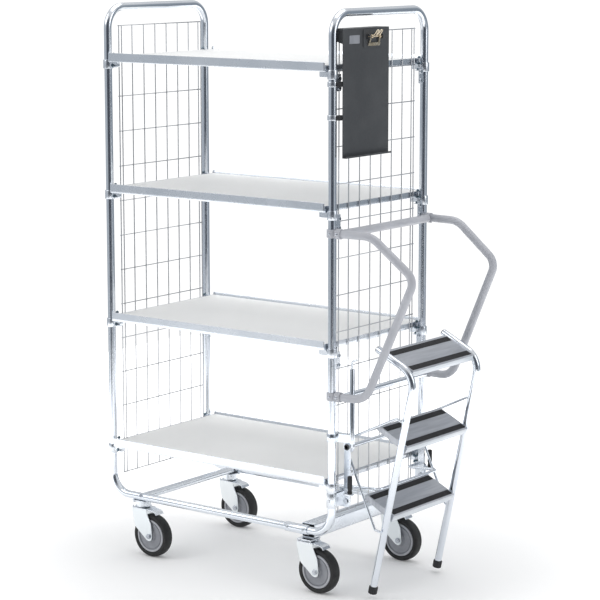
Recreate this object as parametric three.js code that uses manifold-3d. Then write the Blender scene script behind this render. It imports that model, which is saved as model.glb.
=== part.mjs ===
// Mobile ladder stand: a four-shelf order-picking trolley on swivel castors with mesh ends,
// a swing-down three-tread ladder, two grab handles and a writing board at one end.
// Units are millimetres. +Z is up, +X points to the ladder end, -Y is the open front.
// The origin is the middle of the footprint, on the floor.

import * as THREE from 'three';
import { mergeVertices } from 'three/addons/utils/BufferGeometryUtils.js';
import Module from 'manifold-3d';

const wasm = await Module();
wasm.setup();

// ---------------------------------------------------------------- driving dimensions

const GAP = 0.3;                    // clearance between pieces that touch
const HALF_LENGTH = 395;            // upright axis from the trolley's middle, along X
const HALF_WIDTH = 215;             // upright axis from the trolley's middle, along Y
const FOOTPRINT_MIDDLE_X = 120.49;  // middle of the whole object, ladder end included

const TUBE_RADIUS = 11;
const TUBE_WALL = 1.5;
const TUBE_SIDES = 10;
const FRAME_BEND = 60;
const TOP_BAR_Z = 1581;
const BASE_BAR_Z = 175;

const SHELF_COUNT = 4;
const SHELF_LOWEST_Z = 339;         // top edge of the lowest rim
const SHELF_PITCH = 371.5;
const RIM_HALF_LENGTH = 380;
const RIM_HALF_WIDTH = 232;
const RIM_HEIGHT = 25;
const RIM_SHEET = 2.5;
const RIM_FLANGE = 18;
const BOARD_THICKNESS = 14;

const WIRE = 3.5;
const MESH_PITCH_Z = 100;
const MESH_ROWS = 14;
const MESH_LOWEST_Z = 228;
const MESH_X = HALF_LENGTH - TUBE_RADIUS;   // the mesh hangs between the uprights and the shelf ends
const MESH_COLUMNS = [25, 75, 125, 170, 182];

const CASTOR_HALF_PITCH = 300;
const CASTOR_SHIFT = 6;             // the castors sit this far towards the ladder end
const CASTOR_Y = 200;
const CASTOR_TRAIL = 36;
const WHEEL_RADIUS = 62.5;
const TYRE_WIDTH = 32;
const TYRE_INNER_RADIUS = 48;
const WHEEL_SEGMENTS = 20;
const SWIVEL_TOP_Z = 155;

const LADDER_TILT = 26;             // the parked ladder leans this far from its working pose
const ARM_PIVOT_X = 421;
const ARM_PIVOT_Z = 268;
const ARM_LENGTH = 149;
const ARM_SWING = 64;
const RAIL_Y = 158;
const RAIL_RADIUS = 10;
const RAIL_LEAN = 13.8;             // of the rails from vertical, in the working pose
const RAIL_TOP_Z = 284;             // rail top above the ladder hinge, working pose
const RAIL_END_X = -46;
const RAIL_CORNER_X = 88;
const RAIL_BEND = 60;
const TREAD_DEPTH = 104;
const TREAD_SPACING = 194;
const TREAD_SHEET = 2.5;
const FOOT_RADIUS = 12.5;
const FOOT_LENGTH = 20;
const FLOOR_CLEARANCE = 0.5;

const HANDLE_TOP_Z = 1001;
const HANDLE_BOTTOM_Z = 560;
const HANDLE_TOE_IN = 4;            // each loop turns in this many degrees towards the ladder

// ---------------------------------------------------------------- materials

function finish(color, roughness, metalness) {
  return new THREE.MeshStandardMaterial({ color, roughness, metalness });
}

const ZINC = finish(0xc3cad2, 0.28, 0.9);
const WIRE_ZINC = finish(0xb4bac2, 0.35, 0.85);
const WHITE_BOARD = finish(0xf2f2f0, 0.5, 0.0);
const GREY_PAINT = finish(0xa5a8af, 0.42, 0.1);
const TREAD_METAL = finish(0xa0a5af, 0.4, 0.7);
const BLACK_PAINT = finish(0x4b4d50, 0.5, 0.1);
const BLACK_RUBBER = finish(0x1c1c1d, 0.75, 0.0);
const TYRE_RUBBER = finish(0x26262a, 0.7, 0.0);
const RIM_PLASTIC = finish(0x9699a0, 0.5, 0.0);
const BRASS = finish(0xb89452, 0.3, 0.9);

// ---------------------------------------------------------------- solid helpers

const AXIS_X = new THREE.Vector3(1, 0, 0);
const AXIS_Y = new THREE.Vector3(0, 1, 0);
const AXIS_Z = new THREE.Vector3(0, 0, 1);

function vec(x, y, z) {
  return new THREE.Vector3(x, y, z);
}

function solid(geometry) {
  const bare = geometry.clone();
  bare.deleteAttribute('normal');
  bare.deleteAttribute('uv');
  const merged = mergeVertices(bare, 1e-3);
  const index = merged.index.array;
  const triangles = [];
  for (let i = 0; i < index.length; i += 3) {
    const [a, b, c] = [index[i], index[i + 1], index[i + 2]];
    if (a !== b && b !== c && c !== a) triangles.push(a, b, c);
  }
  return new wasm.Manifold(new wasm.Mesh({
    numProp: 3,
    vertProperties: new Float32Array(merged.attributes.position.array),
    triVerts: new Uint32Array(triangles),
  }));
}

function unite(...pieces) {
  return pieces.flat().reduce((sum, piece) => sum.add(piece));
}

function cut(body, ...tools) {
  return tools.flat().reduce((left, tool) => left.subtract(tool), body);
}

function toGeometry(body) {
  const mesh = body.asOriginal().getMesh();
  const geometry = new THREE.BufferGeometry();
  geometry.setAttribute('position', new THREE.BufferAttribute(mesh.vertProperties, 3));
  geometry.setIndex(new THREE.BufferAttribute(mesh.triVerts, 1));
  const flat = geometry.toNonIndexed();
  flat.computeVertexNormals();
  return flat;
}

function box(low, high) {
  const size = vec(...high).sub(vec(...low));
  const middle = vec(...low).add(vec(...high)).multiplyScalar(0.5);
  const geometry = new THREE.BoxGeometry(size.x, size.y, size.z);
  return solid(geometry.translate(middle.x, middle.y, middle.z));
}

// A round bar from one point to another.
function rod(from, to, radius, sides = TUBE_SIDES) {
  const start = vec(...from);
  const end = vec(...to);
  const direction = end.clone().sub(start);
  const geometry = new THREE.CylinderGeometry(radius, radius, direction.length(), sides);
  const turn = new THREE.Quaternion().setFromUnitVectors(AXIS_Y, direction.normalize());
  const middle = start.add(end).multiplyScalar(0.5);
  geometry.applyQuaternion(turn);
  return solid(geometry.translate(middle.x, middle.y, middle.z));
}

// The radius of a many-sided bore whose flats clear a round bar by GAP.
function boreRadius(barRadius, sides = TUBE_SIDES) {
  return (barRadius + GAP) / Math.cos(Math.PI / sides);
}

// A path of straight runs joined by arcs, with stations only where the tube needs them.
class BentPath extends THREE.Curve {
  constructor(corners, radii, arcSteps) {
    super();
    this.stations = [{ point: corners[0], tangent: corners[1].clone().sub(corners[0]).normalize() }];
    for (let i = 1; i < corners.length - 1; i += 1) {
      this.addArc(corners[i - 1], corners[i], corners[i + 1], radii[i - 1], arcSteps);
    }
    const last = corners.length - 1;
    const tangent = corners[last].clone().sub(corners[last - 1]).normalize();
    this.stations.push({ point: corners[last], tangent });
  }

  addArc(before, corner, after, radius, arcSteps) {
    const inward = corner.clone().sub(before).normalize();
    const outward = after.clone().sub(corner).normalize();
    const turn = inward.angleTo(outward);
    const axis = inward.clone().cross(outward).normalize();
    const start = corner.clone().addScaledVector(inward, -radius * Math.tan(turn / 2));
    const centre = start.clone().addScaledVector(axis.clone().cross(inward), radius);
    for (let k = 0; k <= arcSteps; k += 1) {
      const angle = turn * k / arcSteps;
      const point = start.clone().sub(centre).applyAxisAngle(axis, angle).add(centre);
      const tangent = inward.clone().applyAxisAngle(axis, angle);
      this.stations.push({ point, tangent });
    }
  }

  get steps() {
    return this.stations.length - 1;
  }

  getPoint(t) {
    const place = Math.min(Math.round(t * this.steps), this.steps);
    return this.stations[place].point.clone();
  }

  getPointAt(u) {
    return this.getPoint(u);
  }

  getTangentAt(u) {
    return this.stations[Math.min(Math.round(u * this.steps), this.steps)].tangent.clone();
  }
}

function circle(radius, sides) {
  const points = [];
  for (let i = 0; i < sides; i += 1) {
    const angle = 2 * Math.PI * (i + 0.5) / sides;
    points.push(new THREE.Vector2(radius * Math.cos(angle), radius * Math.sin(angle)));
  }
  return points;
}

// A bent bar, or a bent tube with open ends when a wall is given.
function bentTube(corners, bends, radius, { wall = 0, sides = TUBE_SIDES, arcSteps = 4 } = {}) {
  const points = corners.map((corner) => vec(...corner));
  const radii = points.slice(2).map((_, i) => (Array.isArray(bends) ? bends[i] : bends));
  const path = new BentPath(points, radii, arcSteps);
  const section = new THREE.Shape(circle(radius, sides));
  if (wall > 0) section.holes.push(new THREE.Path(circle(radius - wall, sides)));
  return solid(new THREE.ExtrudeGeometry(section, { steps: path.steps, extrudePath: path }));
}

// A flat outline in the XZ plane, given thickness along Y.
function plateXZ(outline, yLow, yHigh) {
  const shape = new THREE.Shape(outline.map(([x, z]) => new THREE.Vector2(x, z)));
  const geometry = new THREE.ExtrudeGeometry(shape, { depth: yHigh - yLow, bevelEnabled: false });
  geometry.rotateX(Math.PI / 2);
  return solid(geometry.translate(0, yHigh, 0));
}

// A profile of [radius, height] points turned about the Y axis.
function turned(profile, segments) {
  const points = profile.map(([radius, height]) => new THREE.Vector2(radius, height));
  return solid(new THREE.LatheGeometry(points, segments));
}

// ---------------------------------------------------------------- scene graph

const trolley = new THREE.Group();
trolley.position.set(-FOOTPRINT_MIDDLE_X, 0, 0);

function addMesh(parent, name, body, material) {
  const mesh = new THREE.Mesh(toGeometry(body), material);
  mesh.name = name;
  parent.add(mesh);
  return mesh;
}

const ENDS = [['left', -1], ['right', 1]];
const SIDES = [['front', -1], ['rear', 1]];

// ---------------------------------------------------------------- base and end frames

const SLEEVE_RADIUS = 13.5;
const SLEEVE_START_X = 240;
const SLEEVE_END_X = 318;
const JOINT_X = 279;

function endFrame(side) {
  const x = side * HALF_LENGTH;
  const seamX = JOINT_X + side * GAP;
  const corners = [
    [seamX, -HALF_WIDTH, BASE_BAR_Z],
    [x, -HALF_WIDTH, BASE_BAR_Z],
    [x, -HALF_WIDTH, TOP_BAR_Z],
    [x, HALF_WIDTH, TOP_BAR_Z],
    [x, HALF_WIDTH, BASE_BAR_Z],
    [seamX, HALF_WIDTH, BASE_BAR_Z],
  ];
  return bentTube(corners, FRAME_BEND, TUBE_RADIUS, { wall: TUBE_WALL });
}

for (const [label, side] of ENDS) {
  addMesh(trolley, `${label}_end_frame`, endFrame(side), ZINC);
}

for (const [label, side] of SIDES) {
  const y = side * HALF_WIDTH;
  const shell = rod([SLEEVE_START_X, y, BASE_BAR_Z], [SLEEVE_END_X, y, BASE_BAR_Z], SLEEVE_RADIUS);
  const bore = rod([SLEEVE_START_X - 1, y, BASE_BAR_Z], [SLEEVE_END_X + 1, y, BASE_BAR_Z],
    boreRadius(TUBE_RADIUS));
  addMesh(trolley, `${label}_joint_sleeve`, cut(shell, bore), ZINC);
}

// Each cross member is an open rectangular tube that runs between the base bars.
const CROSS_HALF_LENGTH = HALF_WIDTH - SLEEVE_RADIUS - GAP;
const CROSS_WALL = 2;
const CROSS_SECTIONS = {
  left: { width: 30, lowZ: BASE_BAR_Z - 11, highZ: BASE_BAR_Z + 3 },
  right: { width: 44, lowZ: BASE_BAR_Z - 25, highZ: BASE_BAR_Z + 15 },
};

function castorX(side) {
  return CASTOR_SHIFT + side * CASTOR_HALF_PITCH;
}

for (const [label, side] of ENDS) {
  const { width, lowZ, highZ } = CROSS_SECTIONS[label];
  const x = castorX(side);
  const outer = box([x - width / 2, -CROSS_HALF_LENGTH, lowZ], [x + width / 2, CROSS_HALF_LENGTH, highZ]);
  const inner = box([x - width / 2 + CROSS_WALL, -HALF_WIDTH, lowZ + CROSS_WALL],
    [x + width / 2 - CROSS_WALL, HALF_WIDTH, highZ - CROSS_WALL]);
  addMesh(trolley, `${label}_cross_member`, cut(outer, inner), ZINC);
}

// ---------------------------------------------------------------- shelves

const CLAMP_RADIUS = 14;
const CLAMP_TOP = -20;
const CLAMP_BOTTOM = -45;
const CLAMP_SIDES = 10;

function uprightBore(x, y, zLow, zHigh) {
  return rod([x, y, zLow - 1], [x, y, zHigh + 1], boreRadius(TUBE_RADIUS, CLAMP_SIDES), CLAMP_SIDES);
}

// A clamp ring round an upright, bored to clear the tube.
function clampRing(x, y, zLow, zHigh) {
  return cut(rod([x, y, zLow], [x, y, zHigh], CLAMP_RADIUS, CLAMP_SIDES), uprightBore(x, y, zLow, zHigh));
}

function shelfCorner(sideX, sideY, top) {
  const x = sideX * HALF_LENGTH;
  const y = sideY * HALF_WIDTH;
  const armInner = sideX * (RIM_HALF_LENGTH - 24);
  const armOuter = x - sideX * (TUBE_RADIUS + 1.5);
  const arm = box(
    [Math.min(armInner, armOuter), y - 7, top - 40],
    [Math.max(armInner, armOuter), y + 7, top - RIM_HEIGHT + 1],
  );
  const boltX = sideX * (RIM_HALF_LENGTH - 8);
  const bolt = rod([boltX, y, top - 46], [boltX, y, top - 39], 6, 6);
  return unite(clampRing(x, y, top + CLAMP_BOTTOM, top + CLAMP_TOP), arm, bolt);
}

function boardTop(top) {
  return top - RIM_HEIGHT + RIM_SHEET + GAP + BOARD_THICKNESS;
}

// The rim stands up along the front and the rear, and is flush with the board at the ends.
function shelfRim(top) {
  const bottom = top - RIM_HEIGHT;
  const outer = box([-RIM_HALF_LENGTH, -RIM_HALF_WIDTH, bottom], [RIM_HALF_LENGTH, RIM_HALF_WIDTH, top]);
  const tray = box(
    [-RIM_HALF_LENGTH + RIM_SHEET, -RIM_HALF_WIDTH + RIM_SHEET, bottom + RIM_SHEET],
    [RIM_HALF_LENGTH - RIM_SHEET, RIM_HALF_WIDTH - RIM_SHEET, top + 1],
  );
  const window = box(
    [-RIM_HALF_LENGTH + RIM_FLANGE, -RIM_HALF_WIDTH + RIM_FLANGE, bottom - 1],
    [RIM_HALF_LENGTH - RIM_FLANGE, RIM_HALF_WIDTH - RIM_FLANGE, top],
  );
  const overEnds = box(
    [-RIM_HALF_LENGTH - 1, -RIM_HALF_WIDTH + RIM_SHEET, boardTop(top)],
    [RIM_HALF_LENGTH + 1, RIM_HALF_WIDTH - RIM_SHEET, top + 1],
  );
  const corners = [];
  for (const sideX of [-1, 1]) {
    for (const sideY of [-1, 1]) corners.push(shelfCorner(sideX, sideY, top));
  }
  const rim = cut(outer, tray, window, overEnds);
  return cut(unite(rim, corners), tray);
}

function shelfBoard(top) {
  const inset = RIM_SHEET + GAP;
  return box(
    [-RIM_HALF_LENGTH + inset, -RIM_HALF_WIDTH + inset, boardTop(top) - BOARD_THICKNESS],
    [RIM_HALF_LENGTH - inset, RIM_HALF_WIDTH - inset, boardTop(top)],
  );
}

for (let i = 0; i < SHELF_COUNT; i += 1) {
  const top = SHELF_LOWEST_Z + i * SHELF_PITCH;
  addMesh(trolley, `shelf_rim_${i + 1}`, shelfRim(top), ZINC);
  addMesh(trolley, `shelf_board_${i + 1}`, shelfBoard(top), WHITE_BOARD);
}

// ---------------------------------------------------------------- mesh end panels

// The lowest and highest edge of each wire, in order.
function wireEdges(centres) {
  return centres.flatMap((centre) => [centre - WIRE / 2, centre + WIRE / 2]);
}

// A welded grid of square wires, drawn as the cells between the wires' edge lines. A cell is
// wire where its row or its column is even, and a wall stands wherever wire meets air.
function meshPanel(x) {
  const ys = wireEdges([...MESH_COLUMNS.map((y) => -y).reverse(), ...MESH_COLUMNS]);
  const zs = wireEdges(Array.from({ length: MESH_ROWS }, (_, i) => MESH_LOWEST_Z + i * MESH_PITCH_Z));
  const [near, far] = [x - WIRE / 2, x + WIRE / 2];
  const isWire = (i, k) => {
    const inside = i >= 0 && k >= 0 && i < ys.length - 1 && k < zs.length - 1;
    return inside && (i % 2 === 0 || k % 2 === 0);
  };
  const corners = [];
  const quad = (a, b, c, d) => corners.push(...a, ...b, ...c, ...a, ...c, ...d);
  for (let i = 0; i < ys.length - 1; i += 1) {
    for (let k = 0; k < zs.length - 1; k += 1) {
      if (!isWire(i, k)) continue;
      const [y0, y1, z0, z1] = [ys[i], ys[i + 1], zs[k], zs[k + 1]];
      quad([far, y0, z0], [far, y1, z0], [far, y1, z1], [far, y0, z1]);
      quad([near, y0, z0], [near, y0, z1], [near, y1, z1], [near, y1, z0]);
      if (!isWire(i - 1, k)) quad([near, y0, z0], [far, y0, z0], [far, y0, z1], [near, y0, z1]);
      if (!isWire(i + 1, k)) quad([near, y1, z0], [near, y1, z1], [far, y1, z1], [far, y1, z0]);
      if (!isWire(i, k - 1)) quad([near, y0, z0], [near, y1, z0], [far, y1, z0], [far, y0, z0]);
      if (!isWire(i, k + 1)) quad([near, y0, z1], [far, y0, z1], [far, y1, z1], [near, y1, z1]);
    }
  }
  const geometry = new THREE.BufferGeometry();
  geometry.setAttribute('position', new THREE.Float32BufferAttribute(corners, 3));
  return solid(geometry);
}

for (const [label, side] of ENDS) {
  addMesh(trolley, `${label}_mesh_panel`, meshPanel(side * MESH_X), WIRE_ZINC);
}

// ---------------------------------------------------------------- grab handles

const HANDLE_SOCKET_RADIUS = 14;
const HANDLE_CLAMP_RADIUS = 15;
const HANDLE_CLAMP_HEIGHT = 22;
const HANDLE_SOCKET_LENGTH = 30;

function handleClamp(y, z) {
  const half = HANDLE_CLAMP_HEIGHT / 2;
  const ring = rod([HALF_LENGTH, y, z - half], [HALF_LENGTH, y, z + half], HANDLE_CLAMP_RADIUS);
  const socket = rod([HALF_LENGTH, y, z], [HALF_LENGTH + HANDLE_SOCKET_LENGTH, y, z], HANDLE_SOCKET_RADIUS);
  const bore = rod([HALF_LENGTH, y, z - half - 5], [HALF_LENGTH, y, z + half + 5],
    boreRadius(TUBE_RADIUS));
  return cut(unite(ring, socket), bore);
}

function handleLoop(side) {
  const y = side * HALF_WIDTH;
  const start = HALF_LENGTH + HANDLE_SOCKET_LENGTH - 8;
  const corners = [
    [start, y, HANDLE_TOP_Z],
    [516, y, HANDLE_TOP_Z],
    [648, y, 897],
    [500, y, HANDLE_BOTTOM_Z],
    [start, y, HANDLE_BOTTOM_Z],
  ];
  const loop = bentTube(corners, [70, 38, 55], TUBE_RADIUS);
  return unite(loop, handleClamp(y, HANDLE_TOP_Z), handleClamp(y, HANDLE_BOTTOM_Z))
    .translate([-HALF_LENGTH, -y, 0])
    .rotate([0, 0, -side * HANDLE_TOE_IN])
    .translate([HALF_LENGTH, y, 0]);
}

for (const [label, side] of SIDES) {
  addMesh(trolley, `${label}_handle_loop`, handleLoop(side), GREY_PAINT);
}

// The two bars that brace the handle loops stay just outside the mesh.
function crossBar(x, z, radius, reach) {
  return cut(
    rod([x, -reach, z], [x, reach, z], radius),
    rod([x, -reach - 1, z], [x, reach + 1, z], radius - TUBE_WALL),
  );
}

const CROSS_BAR_X = HALF_LENGTH + 27;
const CROSS_BAR_REACH = HALF_WIDTH - HANDLE_CLAMP_RADIUS - 4;
addMesh(trolley, 'upper_crossbar',
  crossBar(CROSS_BAR_X, HANDLE_TOP_Z, TUBE_RADIUS, CROSS_BAR_REACH), GREY_PAINT);
addMesh(trolley, 'lower_crossbar',
  crossBar(CROSS_BAR_X, HANDLE_BOTTOM_Z, 8, CROSS_BAR_REACH), ZINC);

// ---------------------------------------------------------------- writing board and clip

const BOARD_X = HALF_LENGTH + 25;
const BOARD_LOW_Y = -206;
const BOARD_HIGH_Y = 4;
const BOARD_LOW_Z = 1201;
const BOARD_TOP_Z = 1540;
const BOARD_SHEET = 2;
const HOOK_X = MESH_X - 5;          // the roof reaches over the mesh and hooks behind it
const HOOK_DROP = 13;
const ROOF_INSET = 6;               // the roof and its near cheek pass beside the upright
const CHEEK_BACK_X = MESH_X + 3;
const CHEEK_DROP = 41;
const LIP_REACH = 13;

function writingBoard() {
  const nearY = BOARD_LOW_Y + ROOF_INSET;
  const plate = box([BOARD_X, BOARD_LOW_Y, BOARD_LOW_Z],
    [BOARD_X + BOARD_SHEET, BOARD_HIGH_Y, BOARD_TOP_Z]);
  const roof = box([HOOK_X, nearY, BOARD_TOP_Z - BOARD_SHEET],
    [BOARD_X + 1, BOARD_HIGH_Y, BOARD_TOP_Z]);
  const hook = box([HOOK_X, nearY, BOARD_TOP_Z - HOOK_DROP],
    [HOOK_X + BOARD_SHEET, BOARD_HIGH_Y, BOARD_TOP_Z]);
  const ledge = box([BOARD_X + 1, BOARD_LOW_Y, BOARD_LOW_Z],
    [BOARD_X + LIP_REACH, BOARD_HIGH_Y, BOARD_LOW_Z + BOARD_SHEET]);
  const outline = [
    [BOARD_X + 1, BOARD_TOP_Z - 1],
    [CHEEK_BACK_X, BOARD_TOP_Z - 1],
    [CHEEK_BACK_X, BOARD_TOP_Z - CHEEK_DROP + 10],
    [BOARD_X + 1, BOARD_TOP_Z - CHEEK_DROP],
  ];
  const nearCheek = plateXZ(outline, nearY, nearY + BOARD_SHEET);
  const farCheek = plateXZ(outline, BOARD_HIGH_Y - BOARD_SHEET, BOARD_HIGH_Y);
  return unite(plate, roof, hook, ledge, nearCheek, farCheek);
}

addMesh(trolley, 'writing_board', writingBoard(), BLACK_PAINT);

const STRAP_HEIGHT = 14;
const STRAP_ZS = { upper: 1389, lower: 1301 };

for (const [label, z] of Object.entries(STRAP_ZS)) {
  const ring = clampRing(HALF_LENGTH, -HALF_WIDTH, z, z + STRAP_HEIGHT);
  const tongue = box([HALF_LENGTH + 8, -HALF_WIDTH - 4, z],
    [BOARD_X - GAP, -HALF_WIDTH + 20, z + STRAP_HEIGHT]);
  const bore = uprightBore(HALF_LENGTH, -HALF_WIDTH, z, z + STRAP_HEIGHT);
  addMesh(trolley, `board_strap_${label}`, cut(unite(ring, tongue), bore), BLACK_PAINT);
}

const CLIP_Y = -72;
const CLIP_BASE_X = BOARD_X + BOARD_SHEET + GAP;
const CLIP_PIVOT_X = CLIP_BASE_X + 9;
const CLIP_PIVOT_Z = 1517;
const CLIP_HALF_WIDTH = 27;

// The clip's base plate has two ears with a bore for the jaw's pin.
function clipBase() {
  const plate = box([CLIP_BASE_X, CLIP_Y - 45, 1488], [CLIP_BASE_X + 2, CLIP_Y + 45, 1536]);
  const ears = [];
  for (const side of [-1, 1]) {
    const y = CLIP_Y + side * (CLIP_HALF_WIDTH + 3);
    const ear = box([CLIP_BASE_X + 1, y - 1.5, CLIP_PIVOT_Z - 7],
      [CLIP_PIVOT_X + 5, y + 1.5, CLIP_PIVOT_Z + 7]);
    const bore = rod([CLIP_PIVOT_X, y - 3, CLIP_PIVOT_Z], [CLIP_PIVOT_X, y + 3, CLIP_PIVOT_Z], 2.4, 10);
    ears.push(cut(ear, bore));
  }
  return unite(plate, ears);
}

// The sprung jaw: a pin, a blade that presses on the paper and a thumb lever above.
function clipJaw() {
  const pin = rod([CLIP_PIVOT_X, CLIP_Y - CLIP_HALF_WIDTH - 5.5, CLIP_PIVOT_Z],
    [CLIP_PIVOT_X, CLIP_Y + CLIP_HALF_WIDTH + 5.5, CLIP_PIVOT_Z], 2, 10);
  const blade = plateXZ([
    [CLIP_PIVOT_X - 3, CLIP_PIVOT_Z + 3],
    [CLIP_BASE_X + 2 + GAP, CLIP_PIVOT_Z - 25],
    [CLIP_BASE_X + 5, CLIP_PIVOT_Z - 25],
    [CLIP_PIVOT_X + 3, CLIP_PIVOT_Z - 2],
  ], CLIP_Y - CLIP_HALF_WIDTH, CLIP_Y + CLIP_HALF_WIDTH);
  const lever = plateXZ([
    [CLIP_PIVOT_X - 3, CLIP_PIVOT_Z],
    [CLIP_PIVOT_X + 3, CLIP_PIVOT_Z - 2],
    [CLIP_PIVOT_X + 17, CLIP_PIVOT_Z + 16],
    [CLIP_PIVOT_X + 14, CLIP_PIVOT_Z + 18],
  ], CLIP_Y - 11, CLIP_Y + 11);
  return unite(pin, blade, lever);
}

addMesh(trolley, 'clip_base', clipBase(), BLACK_PAINT);
addMesh(trolley, 'clip_jaw', clipJaw(), BRASS);

// ---------------------------------------------------------------- castors

const MOUNT_PLATE_HALF = 24;
const MOUNT_PLATE_SHEET = 3;
const SWIVEL_RACE_RADIUS = 24;
const FORK_HALF_WIDTH = 21;
const FORK_SHEET = 2.5;
const FORK_CROWN_Z = 142;
const AXLE_RADIUS = 6;

// Fixed half of the swivel: a mounting plate with the bearing race below it.
function castorMount(plateTop) {
  const plate = box([-MOUNT_PLATE_HALF, -MOUNT_PLATE_HALF, plateTop - MOUNT_PLATE_SHEET],
    [MOUNT_PLATE_HALF, MOUNT_PLATE_HALF, plateTop]);
  const race = turned([
    [0, FORK_CROWN_Z + GAP],
    [15, FORK_CROWN_Z + GAP],
    [SWIVEL_RACE_RADIUS, FORK_CROWN_Z + 4],
    [SWIVEL_RACE_RADIUS - 4, plateTop - 1],
    [0, plateTop - 1],
  ], 16).rotate([90, 0, 0]);
  return unite(plate, race);
}

// A pressed fork: crown, two cheeks that narrow to the axle, and the axle bolt.
function castorFork() {
  const outline = [
    [-26, FORK_CROWN_Z],
    [-26, FORK_CROWN_Z - 14],
    [-15, WHEEL_RADIUS + 22],
    [CASTOR_TRAIL - 26, WHEEL_RADIUS + 2],
    [CASTOR_TRAIL - 9, WHEEL_RADIUS - 12],
    [CASTOR_TRAIL, WHEEL_RADIUS - 15],
    [CASTOR_TRAIL + 9, WHEEL_RADIUS - 11],
    [CASTOR_TRAIL + 12, WHEEL_RADIUS],
    [CASTOR_TRAIL + 8, WHEEL_RADIUS + 38],
    [30, FORK_CROWN_Z - 14],
    [28, FORK_CROWN_Z],
  ];
  const cheeks = [-1, 1].map((side) => {
    const outer = side * FORK_HALF_WIDTH;
    const inner = outer - side * FORK_SHEET;
    return plateXZ(outline, Math.min(outer, inner), Math.max(outer, inner));
  });
  const crown = box([-26, -FORK_HALF_WIDTH, FORK_CROWN_Z - FORK_SHEET],
    [28, FORK_HALF_WIDTH, FORK_CROWN_Z]);
  const reach = FORK_HALF_WIDTH + 4;
  const axle = rod([CASTOR_TRAIL, -reach, WHEEL_RADIUS], [CASTOR_TRAIL, reach, WHEEL_RADIUS], AXLE_RADIUS);
  return unite(cheeks, crown, axle);
}

function tyre() {
  const half = TYRE_WIDTH / 2;
  return turned([
    [TYRE_INNER_RADIUS, -half + 3],
    [WHEEL_RADIUS - 6, -half],
    [WHEEL_RADIUS, -half + 7],
    [WHEEL_RADIUS, half - 7],
    [WHEEL_RADIUS - 6, half],
    [TYRE_INNER_RADIUS, half - 3],
    [TYRE_INNER_RADIUS, -half + 3],
  ], WHEEL_SEGMENTS);
}

function wheelRim() {
  const bore = boreRadius(AXLE_RADIUS);
  const rimRadius = TYRE_INNER_RADIUS - GAP;
  const half = TYRE_WIDTH / 2;
  return turned([
    [bore, -half],
    [16, -half],
    [16, -6],
    [rimRadius - 8, -6],
    [rimRadius, -half + 3],
    [rimRadius, half - 3],
    [rimRadius - 8, 6],
    [16, 6],
    [16, half],
    [bore, half],
    [bore, -half],
  ], WHEEL_SEGMENTS);
}

for (const [endLabel, sideX] of ENDS) {
  for (const [sideLabel, sideY] of SIDES) {
    const name = `castor_${sideLabel}_${endLabel}`;
    const plateTop = CROSS_SECTIONS[endLabel].lowZ - GAP;
    const castor = new THREE.Group();
    castor.position.set(castorX(sideX), sideY * CASTOR_Y, 0);
    trolley.add(castor);
    addMesh(castor, `${name}_mount`, castorMount(plateTop), ZINC);
    addMesh(castor, `${name}_fork`, castorFork(), ZINC);
    const wheel = new THREE.Group();
    wheel.position.set(CASTOR_TRAIL, 0, WHEEL_RADIUS);
    castor.add(wheel);
    addMesh(wheel, `${name}_tyre`, tyre(), TYRE_RUBBER);
    addMesh(wheel, `${name}_rim`, wheelRim(), RIM_PLASTIC);
  }
}

// ---------------------------------------------------------------- ladder carrier

const BRACE_Y = 172.5;
const BRACE_RADIUS = 3.5;
const ARM_LOW_Y = 176.5;
const ARM_HIGH_Y = 181.5;
const ARM_HALF_WIDTH = 10;
const PIN_RADIUS = 5;
const SHAFT_RADIUS = 6;
const BRACKET_LOW_Y = 182;
const BRACKET_HIGH_Y = 186;
const BRACKET_BOTTOM_Z = 252;
const BRACKET_TOP_Z = 304;
const BRACKET_RING_TOP_Z = 292;
const BRACKET_NEAR_X = 399;
const BRACKET_FAR_X = 434;
const BUFFER_X = 440;
const BUFFER_Y = 194;
const BUFFER_RADIUS = 7;
const BUFFER_TOP_Z = 342;

// A span along Y on the front or the rear side, lowest first.
function spanY(side, low, high) {
  return side < 0 ? [-high, -low] : [low, high];
}

function ladderBracket(side) {
  const ring = clampRing(HALF_LENGTH, side * HALF_WIDTH, BRACKET_BOTTOM_Z, BRACKET_RING_TOP_Z);
  const [plateLow, plateHigh] = spanY(side, BRACKET_LOW_Y, BRACKET_HIGH_Y);
  const plate = box([BRACKET_NEAR_X, plateLow, BRACKET_BOTTOM_Z],
    [BRACKET_FAR_X, plateHigh, BRACKET_TOP_Z]);
  const [webLow, webHigh] = spanY(side, BRACKET_LOW_Y, HALF_WIDTH - 4);
  const web = box([BRACKET_NEAR_X, webLow, BRACKET_BOTTOM_Z],
    [BRACKET_NEAR_X + 5, webHigh, BRACKET_RING_TOP_Z]);
  const [tabLow, tabHigh] = spanY(side, BRACKET_LOW_Y, BUFFER_Y + BUFFER_RADIUS);
  const tab = box([BRACKET_FAR_X - 14, tabLow, 288], [BUFFER_X + BUFFER_RADIUS, tabHigh, 292]);
  const [pinLow, pinHigh] = spanY(side, ARM_LOW_Y - 3, BRACKET_HIGH_Y + 3);
  const pin = rod([ARM_PIVOT_X, pinLow, ARM_PIVOT_Z], [ARM_PIVOT_X, pinHigh, ARM_PIVOT_Z], PIN_RADIUS);
  const [headLow, headHigh] = spanY(side, ARM_LOW_Y - 3.5, ARM_LOW_Y - 0.5);
  const head = rod([ARM_PIVOT_X, headLow, ARM_PIVOT_Z], [ARM_PIVOT_X, headHigh, ARM_PIVOT_Z], 8);
  const bore = uprightBore(HALF_LENGTH, side * HALF_WIDTH, BRACKET_BOTTOM_Z, BRACKET_TOP_Z);
  return cut(unite(ring, plate, web, tab, pin, head), bore);
}

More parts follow.
